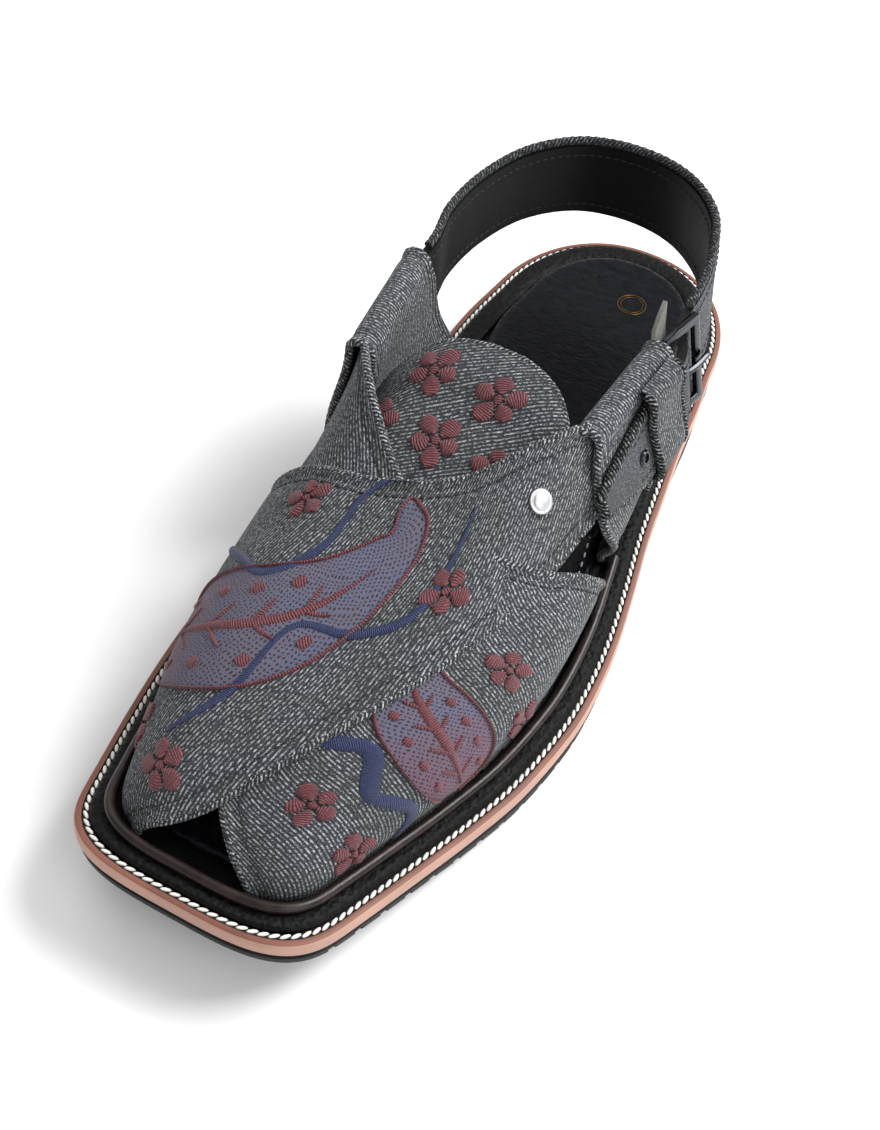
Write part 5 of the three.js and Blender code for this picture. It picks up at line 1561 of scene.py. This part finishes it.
class CHAPPAL_OT_heel_strap(Maker, bpy.types.Operator):
    """Lined strap round the heel, its twisted piping, keeper and seams"""

    bl_idname = "chappal.heel_strap"
    bl_label = "Heel strap"

    def make(self):
        grid = np.array([strap_line(share, LOOP_STEPS) for share in np.linspace(0, 1, LOOP_LINES + 1)])
        finish = denim("denim_heel_strap", 70, 0.45, 1.1)
        cloth = cloth_piece("heel_strap_cloth", grid, STRAP_THICKNESS, finish, "heel_strap", ["heel_strap"])
        self.piping(grid[-1], cloth.middle[-1])
        self.tail(cloth.middle)
        self.seams(cloth)
        self.keeper()

    def tail(self, middle):
        """Corded edge round the strap's tail, from the buckle round its end and back."""
        start = np.argmax((middle[-1, :, 0] > 0) & (middle[-1, :, 1] < y_at(STRAP_TAIL[0][0])))
        edge = np.concatenate([middle[-1, start:-1], middle[::-1, -1], middle[0, start:-1][::-1]])
        cord = tube(respaced(edge, 0.6), STRAP_THICKNESS / 2 + 0.1, 12, 2.4, 0.05)
        settle(joined("strap_tail_cord", [cord], dark_cord()), "heel_strap")

    def piping(self, edge, middle):
        """Twisted cord on the strap's top edge, from the sleeve to the buckle."""
        start = np.argmax(edge[:, 1] > y_at(SLEEVE_STRAP[2]) + 8)
        behind = np.nonzero(edge[:, 1] > y_at(BUCKLE_FRONT) + BUCKLE_LENGTH + 4)[0][-1]
        path = middle[start:behind] + [0, 0, STRAP_PIPING_RADIUS + GAP]
        cord = tube(respaced(path, 0.6), STRAP_PIPING_RADIUS, 12, 2.4, 0.1)
        piece = joined("heel_strap_piping", [cord], denim("denim_piping", 122, 0.45, 0.4))
        settle(piece, "strap_piping", "strap_piping")

    def seams(self, cloth):
        """A sewn line inside each edge, on the cloth and on the lining."""
        seen = slice(40, 330)
        low_seam, high_seam = 3, LOOP_LINES - 3
        normal = cloth.normal[:, seen]
        rows = []
        for sign, depth in ((1, 0.1), (-1, STRAP_THICKNESS + 0.1)):
            face = cloth.grid[:, seen] + sign * normal * depth
            for line in (low_seam, high_seam):
                path = respaced(face[line], HEEL_SEAM_PITCH)
                nearest = np.linspace(0, face.shape[1] - 1, len(path)).astype(int)
                rows.append(row_of(path, sign * normal[line, nearest]))
        settle(stitches("heel_strap_seams", rows, dark_thread(), HEEL_STRAP_THREAD), "heel_strap")

    def keeper(self):
        top, low = STRAP_TAIL[1][1] * COLLAR_HEIGHT, STRAP_TAIL[1][2] * COLLAR_HEIGHT
        over, flat = STRAP_THICKNESS + 4 * GAP + KEEPER_THICKNESS, GAP + KEEPER_THICKNESS
        levels = np.array([(low - 10, flat), (low - 5, flat), (low - 2.2, over), (mix(low, top, 0.33), over),
                           (mix(low, top, 0.66), over), (top + 3, over), (top + 5.5, flat)])
        dense = smooth_path(levels, 60)
        rear = y_at(LATERAL_QUARTER.at("rear", 1)) - 3
        y = rear - KEEPER_LENGTH * np.linspace(1, 0, 25)
        grid = np.array([off_quarter(LATERAL, y, z, lift) for z, lift in dense])[:, ::-1]
        finish = denim("denim_keeper", 4, 0.8)
        cloth = cloth_piece("keeper_cloth", grid, KEEPER_THICKNESS, finish, "keeper", ["keeper"])
        hem("keeper_hems", cloth.edges(2, -2), "keeper", dark_cord())


# Stud from its rim to its crown: radius and height in millimetres
STUD_PROFILE = ((3.5, 0.0), (3.6, 0.12), (3.6, 0.55), (3.45, 0.76), (3.1, 0.82), (2.85, 0.7), (2.65, 0.72),
                (2.45, 1.0), (2.0, 1.2), (1.2, 1.38), (0.35, 1.46))


class CHAPPAL_OT_buckle(Maker, bpy.types.Operator):
    """Dark metal buckle, its chape and guard tab, the eyelet and the stud"""

    bl_idname = "chappal.buckle"
    bl_label = "Buckle and stud"

    def make(self):
        dark = metal("dark_metal", colours().metal[:], 0.16)
        for node, stuff, finish, bevel, slot in (("buckle_frame", "metal", dark, 0.5, "buckle"),
                                                 ("buckle_prong", "metal", dark, 0.15, "buckle"),
                                                 ("buckle_chape", "leather", lining(), 0.2, "buckle_chape"),
                                                 ("guard_tab", "felt", felt(), 0.3, "guard_tab"),
                                                 ("strap_eyelet", "metal", dark, 0.15, "eyelet")):
            settle(solid_copy(f"{node}_{stuff}", node, finish, bevel), slot, node)
        self.stud()

    def stud(self):
        """Turned stud with a stepped rim, where the solid stands."""
        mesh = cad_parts["strap_stud"].data
        solid = np.array([v.co for v in mesh.vertices]) / MM
        foot = solid - solid.mean(0)
        normal = np.linalg.svd(foot, full_matrices=False)[2][2]
        normal *= np.sign(normal[2])
        across = unit(np.cross(normal, [0, 1.0, 0]))
        base = solid.mean(0) + normal * (foot @ normal).min()
        sides, levels = 48, len(STUD_PROFILE)
        turns = 2 * np.pi * np.arange(sides) / sides
        way = np.cos(turns)[:, None] * across + np.sin(turns)[:, None] * np.cross(normal, across)
        rings = [base + way * radius + normal * height for radius, height in STUD_PROFILE]
        points = np.concatenate([*rings, [base, base + normal * STUD_PROFILE[-1][1]]])
        faces = ring_quads(levels, sides).tolist() + end_fans(levels, sides)
        bright = metal("bright_metal", tone(196, 196, 198), 0.46)
        settle(build("strap_stud_metal", points, faces, [bright]), "stud", "strap_stud")


# Lamps: name, place and size in metres, power in watts
LAMPS = (
    ("key", (0.75, 0.85, 1.25), 0.9, 38),
    ("fill", (1.2, -0.6, 0.8), 1.0, 8),
    ("left", (-0.8, 0.5, 1.1), 0.9, 3),
)
WORLD_STRENGTH = 0.56
FLOOR_REACH = 3000

# Camera in the shoe's own frame, fitted to the photograph: place, sight line, right and up
CAMERA_PLACE = (136.154, -332.343, 433.70)
CAMERA_SIGHT = (-0.34934, 0.54956, -0.75891)
CAMERA_RIGHT = (0.84371, 0.53680, 0.00035)
CAMERA_UP = (-0.40757, 0.64018, 0.65120)
PHOTO_FOCUS = 1257.25
PHOTO_WIDTH = 880
PHOTO_HEIGHT = 1130
# The shoe's middle in the photograph's pixels, and how much closer the render frames it
SHOE_MIDDLE = (566, 588)
CLOSER = 1.42


class CHAPPAL_OT_stage(Maker, bpy.types.Operator):
    """Pale floor, soft studio light and the camera at the photograph's angle"""

    bl_idname = "chappal.stage"
    bl_label = "Floor, light and camera"

    def make(self):
        self.floor()
        self.lights()
        self.camera()
        bpy.context.scene.view_settings.view_transform = "Standard"

    def floor(self):
        corners = [(x * FLOOR_REACH, y * FLOOR_REACH, 0) for x, y in ((-1, -1), (1, -1), (1, 1), (-1, 1))]
        paint = Paint("pale_floor")
        paint.surface(Roughness=0.7, Base_Color=(0.92, 0.92, 0.93, 1.0))
        build("floor", corners, [[0, 1, 2, 3]], [paint.material])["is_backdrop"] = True

    def lights(self):
        world = bpy.data.worlds.new("studio")
        world.use_nodes = True
        background = world.node_tree.nodes["Background"].inputs
        background["Color"].default_value = (1.0, 1.0, 1.0, 1.0)
        background["Strength"].default_value = WORLD_STRENGTH
        bpy.context.scene.world = world
        for name, place, size, power in LAMPS:
            light = bpy.data.lights.new(name, "AREA")
            light.size = size
            light.energy = power
            lamp = linked(name, light)
            lamp.location = place
            lamp.rotation_euler = (-Vector(place)).to_track_quat("-Z", "Y").to_euler()

    def camera(self):
        right, up, sight = (Vector(v).normalized() for v in (CAMERA_RIGHT, CAMERA_UP, CAMERA_SIGHT))
        x = (SHOE_MIDDLE[0] - PHOTO_WIDTH / 2) / PHOTO_FOCUS
        y = (PHOTO_HEIGHT / 2 - SHOE_MIDDLE[1]) / PHOTO_FOCUS
        towards = (sight + right * x + up * y).normalized()
        across = towards.cross(up).normalized()
        above = across.cross(towards)
        data = bpy.data.cameras.new("camera")
        data.sensor_width = 36
        data.lens = PHOTO_FOCUS / PHOTO_HEIGHT * data.sensor_width * CLOSER
        data.clip_start = 0.01
        camera = linked("camera", data)
        turn = Matrix((across, above, -towards)).transposed().to_4x4()
        camera.matrix_world = Matrix.Translation(Vector(CAMERA_PLACE) * MM) @ turn
        bpy.context.scene.camera = camera


OPERATORS = (
    CHAPPAL_OT_outsole, CHAPPAL_OT_midsole, CHAPPAL_OT_piping, CHAPPAL_OT_insole, CHAPPAL_OT_straps,
    CHAPPAL_OT_quarters, CHAPPAL_OT_tongue, CHAPPAL_OT_heel_strap, CHAPPAL_OT_buckle, CHAPPAL_OT_stage,
)


class CHAPPAL_PT_panel(bpy.types.Panel):
    """Buttons for each piece of the chappal, with its colours and sizes"""

    bl_label = "Chappal"
    bl_idname = "CHAPPAL_PT_panel"
    bl_space_type = "VIEW_3D"
    bl_region_type = "UI"
    bl_category = "Chappal"

    def draw(self, context):
        for operator in OPERATORS:
            self.layout.operator(operator.bl_idname)
        for group in (context.scene.chappal_colours, context.scene.chappal_sizes):
            for name in group.bl_rna.properties.keys():
                if name not in ("rna_type", "name"):
                    self.layout.prop(group, name)


CLASSES = (ChappalColours, ChappalSizes, *OPERATORS, CHAPPAL_PT_panel)


def register():
    for made in CLASSES:
        bpy.utils.register_class(made)
    bpy.types.Scene.chappal_colours = PointerProperty(type=ChappalColours)
    bpy.types.Scene.chappal_sizes = PointerProperty(type=ChappalSizes)


def unregister():
    del bpy.types.Scene.chappal_sizes
    del bpy.types.Scene.chappal_colours
    for made in reversed(CLASSES):
        bpy.utils.unregister_class(made)


def main():
    register()
    for operator in OPERATORS:
        group, name = operator.bl_idname.split(".")
        getattr(getattr(bpy.ops, group), name)()
    boxes = {"cad": CAD_BOX, "visual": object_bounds()}
    boxes = {name: [list(corner) for corner in box] for name, box in boxes.items()}


if __name__ == "__main__":
    main()
